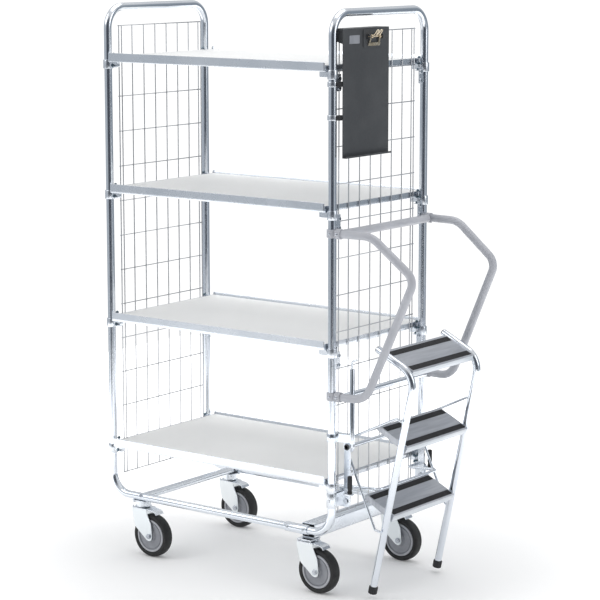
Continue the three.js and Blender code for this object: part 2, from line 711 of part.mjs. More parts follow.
// A flat link with round ends and a bore at each pivot, standing upright when parked.
function swingArm(side) {
  const apexZ = ARM_PIVOT_Z + ARM_LENGTH;
  const [low, high] = spanY(side, ARM_LOW_Y, ARM_HIGH_Y);
  const bar = box([ARM_PIVOT_X - ARM_HALF_WIDTH, low, ARM_PIVOT_Z],
    [ARM_PIVOT_X + ARM_HALF_WIDTH, high, apexZ]);
  const ends = [ARM_PIVOT_Z, apexZ].map(
    (z) => rod([ARM_PIVOT_X, low, z], [ARM_PIVOT_X, high, z], ARM_HALF_WIDTH));
  const bores = [[ARM_PIVOT_Z, PIN_RADIUS], [apexZ, SHAFT_RADIUS]].map(([z, radius]) => (
    rod([ARM_PIVOT_X, low - 1, z], [ARM_PIVOT_X, high + 1, z], boreRadius(radius))
  ));
  return cut(unite(bar, ends), bores);
}

function hingeShaft() {
  const z = ARM_PIVOT_Z + ARM_LENGTH;
  const headEnd = ARM_HIGH_Y + GAP + 3;
  const bar = rod([ARM_PIVOT_X, -headEnd, z], [ARM_PIVOT_X, headEnd, z], SHAFT_RADIUS);
  const heads = [-1, 1].map((side) => (
    rod([ARM_PIVOT_X, side * (headEnd - 3), z], [ARM_PIVOT_X, side * headEnd, z], 9)
  ));
  return unite(bar, heads);
}

for (const [label, side] of SIDES) {
  addMesh(trolley, `ladder_bracket_${label}`, ladderBracket(side), ZINC);
  addMesh(trolley, `swing_arm_${label}`, swingArm(side), ZINC);
  const y = side * BUFFER_Y;
  const buffer = rod([BUFFER_X, y, 292 + GAP], [BUFFER_X, y, BUFFER_TOP_Z], BUFFER_RADIUS - 0.5, 16);
  addMesh(trolley, `ladder_buffer_${label}`, buffer, BLACK_RUBBER);
}
addMesh(trolley, 'hinge_shaft', hingeShaft(), ZINC);

// A U-shaped rod that keeps the parked ladder off the mesh.
const STOP_Z = 305 - 8;
const STOP_X = BRACKET_NEAR_X + 4.5;
const STOP_REACH_X = 500;
const STOP_HALF_WIDTH = 140;
const stopEnd = BRACKET_LOW_Y - GAP;
addMesh(trolley, 'stop_bar', bentTube([
  [STOP_X, -stopEnd, STOP_Z],
  [STOP_X, -STOP_HALF_WIDTH, STOP_Z],
  [STOP_REACH_X, -STOP_HALF_WIDTH, STOP_Z + 6],
  [STOP_REACH_X, STOP_HALF_WIDTH, STOP_Z + 6],
  [STOP_X, STOP_HALF_WIDTH, STOP_Z],
  [STOP_X, stopEnd, STOP_Z],
], [10, 15, 15, 10], 4.2, { sides: 8, arcSteps: 3 }), ZINC);

// ---------------------------------------------------------------- release rod

const LATCH_X = 445;
const LATCH_Y = -192;
const LATCH_TUBE_RADIUS = 7;
const LATCH_ROD_RADIUS = 3;
const LATCH_LOW_Z = 431;
const LATCH_HIGH_Z = 637;

function latchTube() {
  const tube = rod([LATCH_X, LATCH_Y, LATCH_LOW_Z], [LATCH_X, LATCH_Y, LATCH_HIGH_Z], LATCH_TUBE_RADIUS);
  const [armLow, armHigh] = [LATCH_LOW_Z + 4, LATCH_LOW_Z + 26];
  const arm = box([HALF_LENGTH + 4, LATCH_Y - 18, armLow], [LATCH_X, LATCH_Y + 2, armHigh]);
  const ring = clampRing(HALF_LENGTH, -HALF_WIDTH, armLow, armHigh);
  const upright = uprightBore(HALF_LENGTH, -HALF_WIDTH, armLow, armHigh);
  const bore = rod([LATCH_X, LATCH_Y, LATCH_LOW_Z - 1], [LATCH_X, LATCH_Y, LATCH_HIGH_Z + 1],
    boreRadius(LATCH_ROD_RADIUS));
  return cut(unite(tube, arm, ring), upright, bore);
}

addMesh(trolley, 'release_tube', latchTube(), GREY_PAINT);
addMesh(trolley, 'release_rod', bentTube([
  [LATCH_X, LATCH_Y, LATCH_LOW_Z - 12],
  [LATCH_X, LATCH_Y, LATCH_HIGH_Z + 20],
  [LATCH_X + 16, LATCH_Y, LATCH_HIGH_Z + 26],
], [6], LATCH_ROD_RADIUS, { sides: 8, arcSteps: 3 }), ZINC);

// ---------------------------------------------------------------- ladder

// The ladder is drawn in its working pose, treads level, about its hinge, then parked.
const DEGREE = Math.PI / 180;
const HINGE_WORK_Z = ARM_PIVOT_Z + ARM_LENGTH * Math.cos(ARM_SWING * DEGREE);
const LEAN = RAIL_LEAN * DEGREE;
const FOOT_Z = -HINGE_WORK_Z + FOOT_RADIUS * Math.sin(LEAN) + FLOOR_CLEARANCE;
const FOOT_X = RAIL_CORNER_X + (RAIL_TOP_Z - FOOT_Z) * Math.tan(LEAN);

// Where the rail's axis is at a height.
function railX(z) {
  return RAIL_CORNER_X + (RAIL_TOP_Z - z) * Math.tan(LEAN);
}

// A point on the rail's lower end, measured up along the rail from the foot.
function alongRail(distance) {
  return [FOOT_X - distance * Math.sin(LEAN), FOOT_Z + distance * Math.cos(LEAN)];
}

const ladder = new THREE.Group();
ladder.position.set(ARM_PIVOT_X, 0, ARM_PIVOT_Z + ARM_LENGTH);
ladder.rotation.y = LADDER_TILT * DEGREE;
trolley.add(ladder);

const FOOT_FLOOR = 4;

function ladderRail(y) {
  const [endX, endZ] = alongRail(FOOT_FLOOR + GAP);
  const corners = [
    [RAIL_END_X, y, RAIL_TOP_Z],
    [RAIL_CORNER_X, y, RAIL_TOP_Z],
    [endX, y, endZ],
  ];
  return bentTube(corners, RAIL_BEND, RAIL_RADIUS, { wall: TUBE_WALL });
}

function ladderFoot(y) {
  const [topX, topZ] = alongRail(FOOT_LENGTH);
  const [seatX, seatZ] = alongRail(FOOT_FLOOR);
  const [overX, overZ] = alongRail(FOOT_LENGTH + 5);
  const outer = rod([FOOT_X, y, FOOT_Z], [topX, y, topZ], FOOT_RADIUS, 16);
  return cut(outer, rod([seatX, y, seatZ], [overX, y, overZ], boreRadius(RAIL_RADIUS, 16), 16));
}

// A folded tread: flat top, deep front lip and shallow back lip.
function tread(index) {
  const top = RAIL_TOP_Z + 3 - index * TREAD_SPACING;
  const front = index === 0 ? RAIL_CORNER_X - 16 : railX(top) + 14;
  const back = front - TREAD_DEPTH;
  const outline = [
    [back, top],
    [front, top],
    [front, top - 20],
    [front - TREAD_SHEET, top - 20],
    [front - TREAD_SHEET, top - TREAD_SHEET],
    [back + TREAD_SHEET, top - TREAD_SHEET],
    [back + TREAD_SHEET, top - 14],
    [back, top - 14],
  ];
  const reach = RAIL_Y - RAIL_RADIUS - GAP;
  return plateXZ(outline, -reach, reach);
}

// One bent rod from rail to hinge and back, with the hinge boss welded in its corner.
function brace(side) {
  const y = side * BRACE_Y;
  const upper = [RAIL_CORNER_X + 9, 156];
  const lower = [RAIL_CORNER_X + 86, -158];
  const corner = [-22, 5];
  const corners = [
    [railX(158) - 1, y, 158],
    [upper[0], y, upper[1]],
    [corner[0], y, corner[1]],
    [lower[0], y, lower[1]],
    [railX(-152) - 1, y, -152],
  ];
  const bent = bentTube(corners, [6, 18, 8], BRACE_RADIUS, { sides: 8, arcSteps: 4 });
  const [low, high] = spanY(side, BRACE_Y - BRACE_RADIUS, BRACE_Y + BRACE_RADIUS);
  const boss = rod([0, low, 0], [0, high, 0], 17, 16);
  return cut(unite(bent, boss), rod([0, low - 1, 0], [0, high + 1, 0], boreRadius(SHAFT_RADIUS)));
}

const TREAD_NAMES = ['tread_top', 'tread_middle', 'tread_bottom'];
TREAD_NAMES.forEach((name, index) => addMesh(ladder, name, tread(index), TREAD_METAL));

for (const [label, side] of SIDES) {
  addMesh(ladder, `ladder_rail_${label}`, ladderRail(side * RAIL_Y), ZINC);
  addMesh(ladder, `ladder_foot_${label}`, ladderFoot(side * RAIL_Y), BLACK_RUBBER);
  addMesh(ladder, `ladder_brace_${label}`, brace(side), ZINC);
}

export default trolley;
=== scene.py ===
"""Looks of the mobile ladder stand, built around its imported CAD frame.

Shapes are written in millimetres in the trolley's own coordinates: X = 0 midway between
the end frames, +X to the ladder end, -Y to the open front, Z = 0 on the floor.
"""

import math

import bmesh
import bpy
from mathutils import Matrix, Vector


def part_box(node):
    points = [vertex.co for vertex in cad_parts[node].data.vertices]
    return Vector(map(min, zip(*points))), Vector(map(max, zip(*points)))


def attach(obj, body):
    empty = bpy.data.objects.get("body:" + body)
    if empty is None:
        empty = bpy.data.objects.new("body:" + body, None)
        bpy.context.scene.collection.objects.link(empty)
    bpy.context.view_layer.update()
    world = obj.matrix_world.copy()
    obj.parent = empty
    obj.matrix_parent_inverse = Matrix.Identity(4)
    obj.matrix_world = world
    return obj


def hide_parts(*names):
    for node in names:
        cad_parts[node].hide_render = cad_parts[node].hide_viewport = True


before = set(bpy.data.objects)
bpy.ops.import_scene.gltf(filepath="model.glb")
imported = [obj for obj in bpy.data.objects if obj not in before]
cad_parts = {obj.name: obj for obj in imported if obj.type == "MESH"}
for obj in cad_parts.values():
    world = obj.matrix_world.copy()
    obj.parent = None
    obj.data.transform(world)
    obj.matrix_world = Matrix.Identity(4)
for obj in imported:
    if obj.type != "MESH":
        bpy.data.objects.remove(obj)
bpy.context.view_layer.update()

MM = 0.001
left_low, left_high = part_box("left_end_frame")
right_low, right_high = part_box("right_end_frame")
TROLLEY_X = (left_low.x + right_high.x) / 2

# ------------------------------------------------------------------ main sizes, mm

TUBE_R = 11
RING_BORE = TUBE_R + 0.3
RING_R = 14
HALF_LENGTH = (right_high.x - left_low.x) / 2 / MM - TUBE_R
HALF_WIDTH = (right_high.y - right_low.y) / 2 / MM - TUBE_R
TOP_BAR_Z = right_high.z / MM - TUBE_R
BASE_BAR_Z = right_low.z / MM + TUBE_R
FRAME_BEND = 60
JOINT_X = 279

SHELF_TOPS = [339 + 371.5 * i for i in range(4)]
RIM_X = 380
RIM_Y = 232
RIM_H = 25
RIM_SHEET = 2.5
BOARD_T = 14
STEM_X = 389.5
STEM_Y = 196.5

WIRE_R = 1.6
MESH_Y = [-182, -170, -125, -75, -25, 25, 75, 125, 170, 182]
MESH_Z = [228 + 100 * i for i in range(14)]

CASTOR_X = {"left": -294, "right": 306}
CASTOR_Y = {"front": -200, "rear": 200}
TRAIL = 36
WHEEL_R = 62.5
CROWN_Z = 142

ARM_X = 421
ARM_Z = 268
ARM_LENGTH = 149
HINGE_Z = ARM_Z + ARM_LENGTH
LADDER_TILT = math.radians(26)
LEAN = math.radians(13.8)
RAIL_Y = 158
RAIL_R = 10
RAIL_TOP = 284
RAIL_CORNER = 88
HINGE_WORK_Z = ARM_Z + ARM_LENGTH * math.cos(math.radians(64))
FOOT_R = 12.5
FOOT_LOW = -HINGE_WORK_Z + FOOT_R * math.sin(LEAN) + 0.5
FOOT_X = RAIL_CORNER + (RAIL_TOP - FOOT_LOW) * math.tan(LEAN)
TREAD_SPACING = 194
TREAD_DEPTH = 104
TREAD_HALF = RAIL_Y - RAIL_R - 0.3

HANDLE_TOP = 1001
HANDLE_LOW = 560
TOE_IN = math.radians(4)

SIDES = {"front": -1, "rear": 1}
ENDS = {"left": -1, "right": 1}

# ------------------------------------------------------------------ shapes as (points, faces)


def joined(*shapes):
    points, faces = [], []
    for shape_points, shape_faces in shapes:
        base = len(points)
        points.extend(shape_points)
        faces.extend(tuple(i + base for i in face) for face in shape_faces)
    return points, faces


def moved(shape, matrix):
    return [matrix @ point for point in shape[0]], shape[1]


def at(x, y, z):
    return Matrix.Translation((x, y, z))


def route(corners, bends, steps=12):
    """Straight runs between corners, rounded by the bend radius at each inner corner."""
    corners = [Vector(c) for c in corners]
    points = [corners[0]]
    for i, radius in enumerate(bends):
        here = corners[i + 1]
        back = (corners[i] - here).normalized()
        ahead = (corners[i + 2] - here).normalized()
        half = back.angle(ahead) / 2
        centre = here + (back + ahead).normalized() * (radius / math.sin(half))
        start = here + back * (radius / math.tan(half)) - centre
        end = here + ahead * (radius / math.tan(half)) - centre
        turn = start.angle(end)
        axis = start.cross(end)
        for k in range(steps + 1):
            points.append(centre + Matrix.Rotation(turn * k / steps, 3, axis) @ start)
    points.append(corners[-1])
    return points


def ring_faces(first, second, sides):
    return [
        (first + k, first + (k + 1) % sides, second + (k + 1) % sides, second + k)
        for k in range(sides)
    ]


def tube(points, radius, sides=24, soft=1.0):
    """A round rod along a path, with softly rounded ends."""
    points = [Vector(p) for p in points]
    first = (points[1] - points[0]).normalized()
    last = (points[-1] - points[-2]).normalized()
    stations = [
        (points[0], first, radius - soft),
        (points[0] + first * soft * 0.3, first, radius - soft * 0.3),
        (points[0] + first * soft, first, radius),
    ]
    for before, here, after in zip(points, points[1:], points[2:]):
        tangent = ((here - before).normalized() + (after - here).normalized()).normalized()
        stations.append((here, tangent, radius))
    stations += [
        (points[-1] - last * soft, last, radius),
        (points[-1] - last * soft * 0.3, last, radius - soft * 0.3),
        (points[-1], last, radius - soft),
    ]
    normal = first.orthogonal().normalized()
    previous = first
    verts, faces = [], []
    for place, tangent, size in stations:
        normal = (previous.rotation_difference(tangent) @ normal).normalized()
        previous = tangent
        side = tangent.cross(normal)
        base = len(verts)
        for k in range(sides):
            a = 2 * math.pi * k / sides
            verts.append(place + (normal * math.cos(a) + side * math.sin(a)) * size)
        if base:
            faces += ring_faces(base - sides, base, sides)
    faces.append(tuple(range(sides)))
    faces.append(tuple(range(len(verts) - sides, len(verts))))
    return verts, faces


def lathe(profile, centre, axis, sides=32, closed=False):
    """Turns (radius, distance along the axis) pairs about an axis."""
    axis = Vector(axis).normalized()
    across = axis.orthogonal().normalized()
    side = axis.cross(across)
    centre = Vector(centre)
    verts, faces = [], []
    for radius, along in profile:
        for k in range(sides):
            a = 2 * math.pi * k / sides
            verts.append(centre + axis * along + (across * math.cos(a) + side * math.sin(a)) * radius)
    count = len(profile)
    for i in range(count if closed else count - 1):
        faces += ring_faces(i * sides, (i + 1) % count * sides, sides)
    if not closed:
        faces.append(tuple(range(sides)))
        faces.append(tuple(range((count - 1) * sides, count * sides)))
    return verts, faces


def slab(outline, low, high, plane="xz"):
    """A flat outline given thickness along the axis that its plane leaves out."""
    def spot(a, b, c):
        return Vector({"xz": (a, c, b), "yz": (c, a, b), "xy": (a, b, c)}[plane])

    count = len(outline)
    verts = [spot(a, b, low) for a, b in outline] + [spot(a, b, high) for a, b in outline]
    faces = ring_faces(0, count, count)
    faces += [tuple(range(count)), tuple(range(count, 2 * count))]
    return verts, faces


def rect(a0, b0, a1, b1):
    return [(a0, b0), (a1, b0), (a1, b1), (a0, b1)]


def block(low, high):
    (x0, y0, z0), (x1, y1, z1) = low, high
    return slab(rect(x0, z0, x1, z1), y0, y1)


def rounded(corners, radius, steps=6):
    """A flat outline with every corner rounded."""
    count = len(corners)
    out = []
    for i, corner in enumerate(corners):
        here = Vector((*corner, 0))
        back = (Vector((*corners[i - 1], 0)) - here).normalized()
        ahead = (Vector((*corners[(i + 1) % count], 0)) - here).normalized()
        r = radius[i] if isinstance(radius, (list, tuple)) else radius
        if r <= 0:
            out.append(corner)
            continue
        half = back.angle(ahead) / 2
        centre = here + (back + ahead).normalized() * (r / math.sin(half))
        start = here + back * (r / math.tan(half)) - centre
        end = here + ahead * (r / math.tan(half)) - centre
        turn = start.angle(end)
        axis = start.cross(end)
        for k in range(steps + 1):
            p = centre + Matrix.Rotation(turn * k / steps, 3, axis) @ start
            out.append((p.x, p.y))
    return out


def hexagon(centre, axis, radius, height):
    """A bolt head or nut with chamfered corners."""
    c = radius * 0.12
    profile = [(radius - c, 0), (radius, c), (radius, height - c), (radius - c, height)]
    return lathe(profile, centre, axis, 6)


def dome(centre, axis, radius, height):
    """A rounded rivet or screw head."""
    profile = [
        (radius * math.cos(math.pi / 2 * k / 5), height * math.sin(math.pi / 2 * k / 5))
        for k in range(5)
    ]
    return lathe([(radius, -1)] + profile + [(radius * 0.08, height)], centre, axis, 16)


def collar(centre, axis, inner, outer, low, high, sides=32):
    """A ring round a tube, with rounded edges."""
    c = min(1.0, (outer - inner) * 0.4)
    profile = [
        (inner, low), (outer - c, low), (outer - c * 0.3, low + c * 0.3), (outer, low + c),
        (outer, high - c), (outer - c * 0.3, high - c * 0.3), (outer - c, high), (inner, high),
    ]
    return lathe(profile, centre, axis, sides, closed=True)


def rect_loop(profile, half_x, half_y, corner, steps=6, end_top=1e9):
    """Sweeps (outward, height) pairs round a rectangle; the X ends stay under end_top."""
    stations = []
    for sx, sy, start in ((1, 1, 0), (-1, 1, 90), (-1, -1, 180), (1, -1, 270)):
        for k in range(steps + 1):
            a = math.radians(start + 90 * k / steps)
            stations.append((sx * (half_x - corner), sy * (half_y - corner), math.cos(a), math.sin(a)))
    verts, faces = [], []
    for cx, cy, nx, ny in stations:
        for out, z in profile:
            reach = max(corner + out, 0.2)
            square = out + corner - reach
            height = min(z, end_top) if abs(nx) > 0.95 else z
            verts.append(Vector((cx + nx * reach, cy + ny * reach, height)) + Vector((nx, ny, 0)) * square)
    size = len(profile)
    total = len(stations)
    for i in range(total):
        for k in range(size):
            a, b = i * size, (i + 1) % total * size
            faces.append((a + k, b + k, b + (k + 1) % size, a + (k + 1) % size))
    return verts, faces


# ------------------------------------------------------------------ pieces


def add(name, body, look, shape, replaces=(), bevel=0.0, angle=35, place=None):
    verts, faces = shape if place is None else moved(shape, place)
    mesh = bpy.data.meshes.new(name)
    mesh.from_pydata([(p.x * MM + TROLLEY_X, p.y * MM, p.z * MM) for p in verts], [], faces)
    bm = bmesh.new()
    bm.from_mesh(mesh)
    bmesh.ops.recalc_face_normals(bm, faces=bm.faces)
    bm.to_mesh(mesh)
    bm.free()
    mesh.shade_smooth()
    obj = bpy.data.objects.new(name, mesh)
    bpy.context.scene.collection.objects.link(obj)
    if bevel:
        modifier = obj.modifiers.new("Edges", "BEVEL")
        modifier.width = bevel * MM
        modifier.segments = 2
        modifier.limit_method = "ANGLE"
        modifier.angle_limit = math.radians(angle)
        modifier.harden_normals = True
    else:
        mesh.set_sharp_from_angle(angle=math.radians(angle))
    mesh.materials.append(look)
    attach(obj, body)
    if replaces:
        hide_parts(*replaces)
    return obj


# ------------------------------------------------------------------ materials


class Look:
    """Builds one procedural material around a Principled shader."""

    def __init__(self, name, color, roughness, metallic=0.0):
        self.material = bpy.data.materials.new(name)
        self.material.use_nodes = True
        self.nodes = self.material.node_tree.nodes
        self.links = self.material.node_tree.links
        self.shader = self.nodes["Principled BSDF"]
        self.shader.inputs["Base Color"].default_value = (*color, 1)
        self.shader.inputs["Roughness"].default_value = roughness
        self.shader.inputs["Metallic"].default_value = metallic
        self.coords = self.nodes.new("ShaderNodeTexCoord")

    def noise(self, scale, detail=3.0, stretch=(1, 1, 1)):
        mapping = self.nodes.new("ShaderNodeMapping")
        mapping.inputs["Scale"].default_value = stretch
        self.links.new(self.coords.outputs["Object"], mapping.inputs["Vector"])
        texture = self.nodes.new("ShaderNodeTexNoise")
        texture.inputs["Scale"].default_value = scale
        texture.inputs["Detail"].default_value = detail
        self.links.new(mapping.outputs["Vector"], texture.inputs["Vector"])
        return texture.outputs["Fac"]

    def shades(self, source, dark, light):
        ramp = self.nodes.new("ShaderNodeValToRGB")
        ramp.color_ramp.elements[0].position = 0.35
        ramp.color_ramp.elements[0].color = (*dark, 1)
        ramp.color_ramp.elements[1].position = 0.65
        ramp.color_ramp.elements[1].color = (*light, 1)
        self.links.new(source, ramp.inputs["Fac"])
        self.links.new(ramp.outputs["Color"], self.shader.inputs["Base Color"])
        return self

    def gloss(self, source, low, high):
        scale = self.nodes.new("ShaderNodeMapRange")
        scale.inputs["From Min"].default_value = 0.3
        scale.inputs["From Max"].default_value = 0.7
        scale.inputs["To Min"].default_value = low
        scale.inputs["To Max"].default_value = high
        self.links.new(source, scale.inputs["Value"])
        self.links.new(scale.outputs["Result"], self.shader.inputs["Roughness"])
        return self

    def bump(self, source, height):
        node = self.nodes.new("ShaderNodeBump")
        node.inputs["Strength"].default_value = 1.0
        node.inputs["Distance"].default_value = height * MM
        self.links.new(source, node.inputs["Height"])
        self.links.new(node.outputs["Normal"], self.shader.inputs["Normal"])
        return self


def zinc(name, dark, light, low, high):
    look = Look(name, light, low, metallic=1.0)
    look.shades(look.noise(7, 2), dark, light)
    look.gloss(look.noise(18, 2), low, high)
    look.bump(look.noise(90, 1), 0.012)
    return look.material


zinc_tube = zinc("zinc_tube", (0.76, 0.80, 0.86), (0.82, 0.86, 0.91), 0.15, 0.19)
zinc_sheet = zinc("zinc_sheet", (0.76, 0.80, 0.85), (0.83, 0.86, 0.90), 0.24, 0.30)
zinc_fork = zinc("zinc_fork", (0.86, 0.90, 0.92), (0.92, 0.95, 0.96), 0.40, 0.46)
zinc_wire = zinc("zinc_wire", (0.50, 0.51, 0.53), (0.60, 0.61, 0.63), 0.28, 0.38)
zinc_bolt = zinc("zinc_bolt", (0.50, 0.53, 0.58), (0.66, 0.69, 0.73), 0.2, 0.32)

dark_bolt = zinc("dark_bolt", (0.09, 0.13, 0.16), (0.17, 0.22, 0.26), 0.2, 0.3)

look = Look("white_board", (0.9, 0.9, 0.9), 0.4)
look.shades(look.noise(5, 3), (0.91, 0.91, 0.90), (0.94, 0.94, 0.93))
look.gloss(look.noise(45, 3), 0.36, 0.46)
look.bump(look.noise(700, 2), 0.03)
white_board = look.material

look = Look("grey_paint", (0.4, 0.4, 0.43), 0.4)
look.shades(look.noise(14, 3), (0.49, 0.50, 0.54), (0.54, 0.55, 0.59))
look.gloss(look.noise(90, 2), 0.34, 0.44)
look.bump(look.noise(420, 2), 0.12)
grey_paint = look.material

look = Look("tread_metal", (0.42, 0.44, 0.48), 0.38, metallic=0.85)
look.shades(look.noise(20, 4, (6, 0.4, 1)), (0.47, 0.49, 0.53), (0.57, 0.59, 0.63))
look.gloss(look.noise(120, 3, (8, 0.3, 1)), 0.34, 0.5)
look.bump(look.noise(260, 2, (8, 0.2, 1)), 0.08)
tread_metal = look.material

# The tread's front lip is the same sheet as the tread; this lighter copy of the tread metal is a painted
# highlight along that edge.
look = Look("nose_painted_highlight", (0.7, 0.73, 0.77), 0.4, metallic=0.6)
look.shades(look.noise(16, 3, (4, 0.4, 1)), (0.66, 0.70, 0.74), (0.76, 0.79, 0.83))
look.gloss(look.noise(90, 2, (6, 0.3, 1)), 0.36, 0.46)
look.bump(look.noise(200, 2, (6, 0.2, 1)), 0.05)
nose_painted_highlight = look.material

look = Look("grit_strip", (0.03, 0.03, 0.033), 0.85)
look.shades(look.noise(500, 3), (0.010, 0.010, 0.012), (0.034, 0.034, 0.037))
look.gloss(look.noise(300, 2), 0.75, 0.95)
look.bump(look.noise(900, 3), 0.5)
grit_strip = look.material

look = Look("black_paint", (0.07, 0.07, 0.075), 0.45)
look.shades(look.noise(12, 3), (0.058, 0.061, 0.065), (0.076, 0.079, 0.083))
look.gloss(look.noise(150, 2), 0.38, 0.5)
look.bump(look.noise(650, 2), 0.15)
black_paint = look.material

look = Look("black_rubber", (0.02, 0.02, 0.022), 0.6)
look.shades(look.noise(30, 3), (0.014, 0.014, 0.016), (0.028, 0.028, 0.031))
look.gloss(look.noise(110, 2), 0.5, 0.68)
look.bump(look.noise(500, 2), 0.15)
black_rubber = look.material

look = Look("tyre_rubber", (0.03, 0.03, 0.033), 0.55)
look.shades(look.noise(40, 4), (0.012, 0.013, 0.014), (0.022, 0.022, 0.022))
look.gloss(look.noise(130, 3), 0.55, 0.72)
look.bump(look.noise(380, 3), 0.2)
tyre_rubber = look.material

look = Look("grey_plastic", (0.2, 0.21, 0.23), 0.45)
look.shades(look.noise(35, 3), (0.29, 0.30, 0.33), (0.34, 0.35, 0.38))
look.gloss(look.noise(160, 2), 0.38, 0.5)
look.bump(look.noise(520, 2), 0.12)
grey_plastic = look.material

look = Look("pale_plastic", (0.4, 0.41, 0.43), 0.45)
look.shades(look.noise(35, 3), (0.46, 0.47, 0.50), (0.54, 0.55, 0.58))
look.gloss(look.noise(160, 2), 0.38, 0.5)
look.bump(look.noise(520, 2), 0.12)
pale_plastic = look.material

look = Look("brass", (0.6, 0.43, 0.2), 0.25, metallic=1.0)
look.shades(look.noise(60, 3), (0.62, 0.50, 0.34), (0.80, 0.70, 0.54))
look.gloss(look.noise(200, 2), 0.2, 0.34)
look.bump(look.noise(420, 2), 0.05)
brass = look.material

# ------------------------------------------------------------------ end frames and base

for end, side in ENDS.items():
    x = side * HALF_LENGTH
    seam = JOINT_X + side * 0.3
    corners = [
        (seam, -HALF_WIDTH, BASE_BAR_Z), (x, -HALF_WIDTH, BASE_BAR_Z), (x, -HALF_WIDTH, TOP_BAR_Z),
        (x, HALF_WIDTH, TOP_BAR_Z), (x, HALF_WIDTH, BASE_BAR_Z), (seam, HALF_WIDTH, BASE_BAR_Z),
    ]
    add(f"{end}_frame_tube", "trolley", zinc_tube,
        tube(route(corners, [FRAME_BEND] * 4, 16), TUBE_R, 32), (f"{end}_end_frame",))

for name, side in SIDES.items():
    y = side * HALF_WIDTH
    sleeve = collar((0, y, BASE_BAR_Z), (1, 0, 0), RING_BORE, 13.5, 240, 318)
    add(f"{name}_sleeve", "trolley", zinc_tube, sleeve, (f"{name}_joint_sleeve",))
    bolts = [
        dome((x, y + side * 12.2, BASE_BAR_Z + 2), (0, side, 0), 4.6, 3)
        for x in (252, 306)
    ]
    bolts.append(hexagon((-282, y + side * 9, BASE_BAR_Z + 5), (0, side, 0.4), 5.4, 4))
    add(f"{name}_base_bolts", "trolley", zinc_bolt, joined(*bolts))

# Half width, low and high side measured from the base bar, and corner radius.
CROSS = {"left": (15, -11, 3, 5.5), "right": (22, -25, 15, 3.5)}
for end in ENDS:
    x = CASTOR_X[end]
    half, low, high, corner = CROSS[end]
    low += BASE_BAR_Z
    top = BASE_BAR_Z + high
    outline = rounded(rect(x - half, low, x + half, top), corner, 5)
    inner = rounded(rect(x - half + 2, low + 2, x + half - 2, top - 2), corner - 1.5, 5)
    reach = HALF_WIDTH - 13.8
    count = len(outline)
    verts = [Vector((a, y, b)) for y in (-reach, reach) for ring in (outline, inner) for a, b in ring]
    faces = ring_faces(0, 2 * count, count) + ring_faces(count, 3 * count, count)
    faces += ring_faces(0, count, count) + ring_faces(2 * count, 3 * count, count)
    shapes = [(verts, faces)]
    if end == "right":
        for offset in (-12, 0, 12):
            rib = rounded([(x + offset - 2.5, top - 1), (x + offset + 2.5, top - 1),
                           (x + offset + 1.5, top + 1.2), (x + offset - 1.5, top + 1.2)], [0, 0, 1, 1], 3)
            shapes.append(slab(rib, -reach + 12, reach - 12))
    add(f"{end}_cross_tube", "trolley", zinc_sheet, joined(*shapes), (f"{end}_cross_member",))

# ------------------------------------------------------------------ shelves


def shelf_profile(top):
    """The folded rim in section: a wall with a rolled top edge and a flange under the board."""
    low = top - RIM_H
    t = RIM_SHEET
    return [
        (0, low + 1.2), (-0.4, low + 0.4), (-1.2, low), (-18, low), (-18, low + t), (-t, low + t),
        (-t, top - 0.8), (-t + 0.6, top), (-0.8, top), (0, top - 0.8),
        (0, top - 3), (0, top - 8), (0, low + 8),
    ]


for index, top in enumerate(SHELF_TOPS, 1):
    add(f"shelf_{index}_rim", "trolley", zinc_sheet,
        rect_loop(shelf_profile(top), RIM_X, RIM_Y, 3.5, 5, top - 8.4), (f"shelf_rim_{index}",), angle=40)
    low = top - RIM_H + RIM_SHEET + 0.3
    inset = RIM_SHEET + 0.3  # the board lies loose in the rim
    board = block((-RIM_X + inset, -RIM_Y + inset, low), (RIM_X - inset, RIM_Y - inset, low + BOARD_T))
    add(f"shelf_{index}_board", "trolley", white_board, board,
        (f"shelf_board_{index}",), bevel=0.8)
    rings, arms, caps, heads = [], [], [], []
    for sx in (-1, 1):
        for sy in (-1, 1):
            x, y = sx * HALF_LENGTH, sy * HALF_WIDTH
            rings.append(collar((x, y, 0), (0, 0, 1), RING_BORE, RING_R, top - 45, top - 20))
            inner, outer = sx * (RIM_X - 24), x - sx * 12.5
            outline = rounded(rect(inner, top - 40, outer, top - RIM_H - 0.2), 2.5, 3)
            arms.append(slab(outline, y - 7, y + 7))
            if sx < 0:
                face = y + sy * 7
                caps.append(hexagon((sx * 371, face, top - 35), (0, sy, 0), 5.2, 2.6))
                heads.append(collar((sx * 361, face, top - 35), (0, sy, 0), 2.2, 4.2, -0.6, 1.6, 20))
                caps.append(dome((sx * 361, face + sy * 0.1, top - 35), (0, sy, 0), 2.2, 1))
            else:
                rungs = (44, 69) if index > 1 else (56, 79)
                near, far = sorted((sy * 184, sy * 203))
                arms.append(block((396, near, top - rungs[1] - 8), (399.5, far, top - rungs[0] + 12)))
                for drop in rungs:
                    heads.append(collar((399.5, sy * 191, top - drop), (1, 0, 0), 2.6, 6, -0.4, 3, 24))
                    caps.append(dome((399.6, sy * 191, top - drop), (1, 0, 0), 3.2, 3.8))
            stem_x, stem_y = sx * STEM_X, sy * STEM_Y
            heads.append(tube([(stem_x, stem_y, top - 42), (stem_x, stem_y, top - 6)], 3, 16, 0.6))
            caps.append(collar((stem_x, stem_y, top - 25), (0, 0, 1), 2.8, 7, 0, 6, 24))
            caps.append(hexagon((stem_x, stem_y, top - 41), (0, 0, 1), 6.4, 6))
            caps.append(dome((stem_x, stem_y, top - 6), (0, 0, 1), 4.6, 5))
            foot = block((x - sx * 14, y - sy * 24, top - 43), (x - sx * 2, y - sy * 9, top - 40))
            arms.append(foot)
    add(f"shelf_{index}_clamps", "trolley", zinc_sheet, joined(*rings))
    add(f"shelf_{index}_arms", "trolley", zinc_sheet, joined(*arms), bevel=0.8)
    add(f"shelf_{index}_bolts", "trolley", zinc_bolt, joined(*heads))
    add(f"shelf_{index}_bolt_caps", "trolley", dark_bolt, joined(*caps))

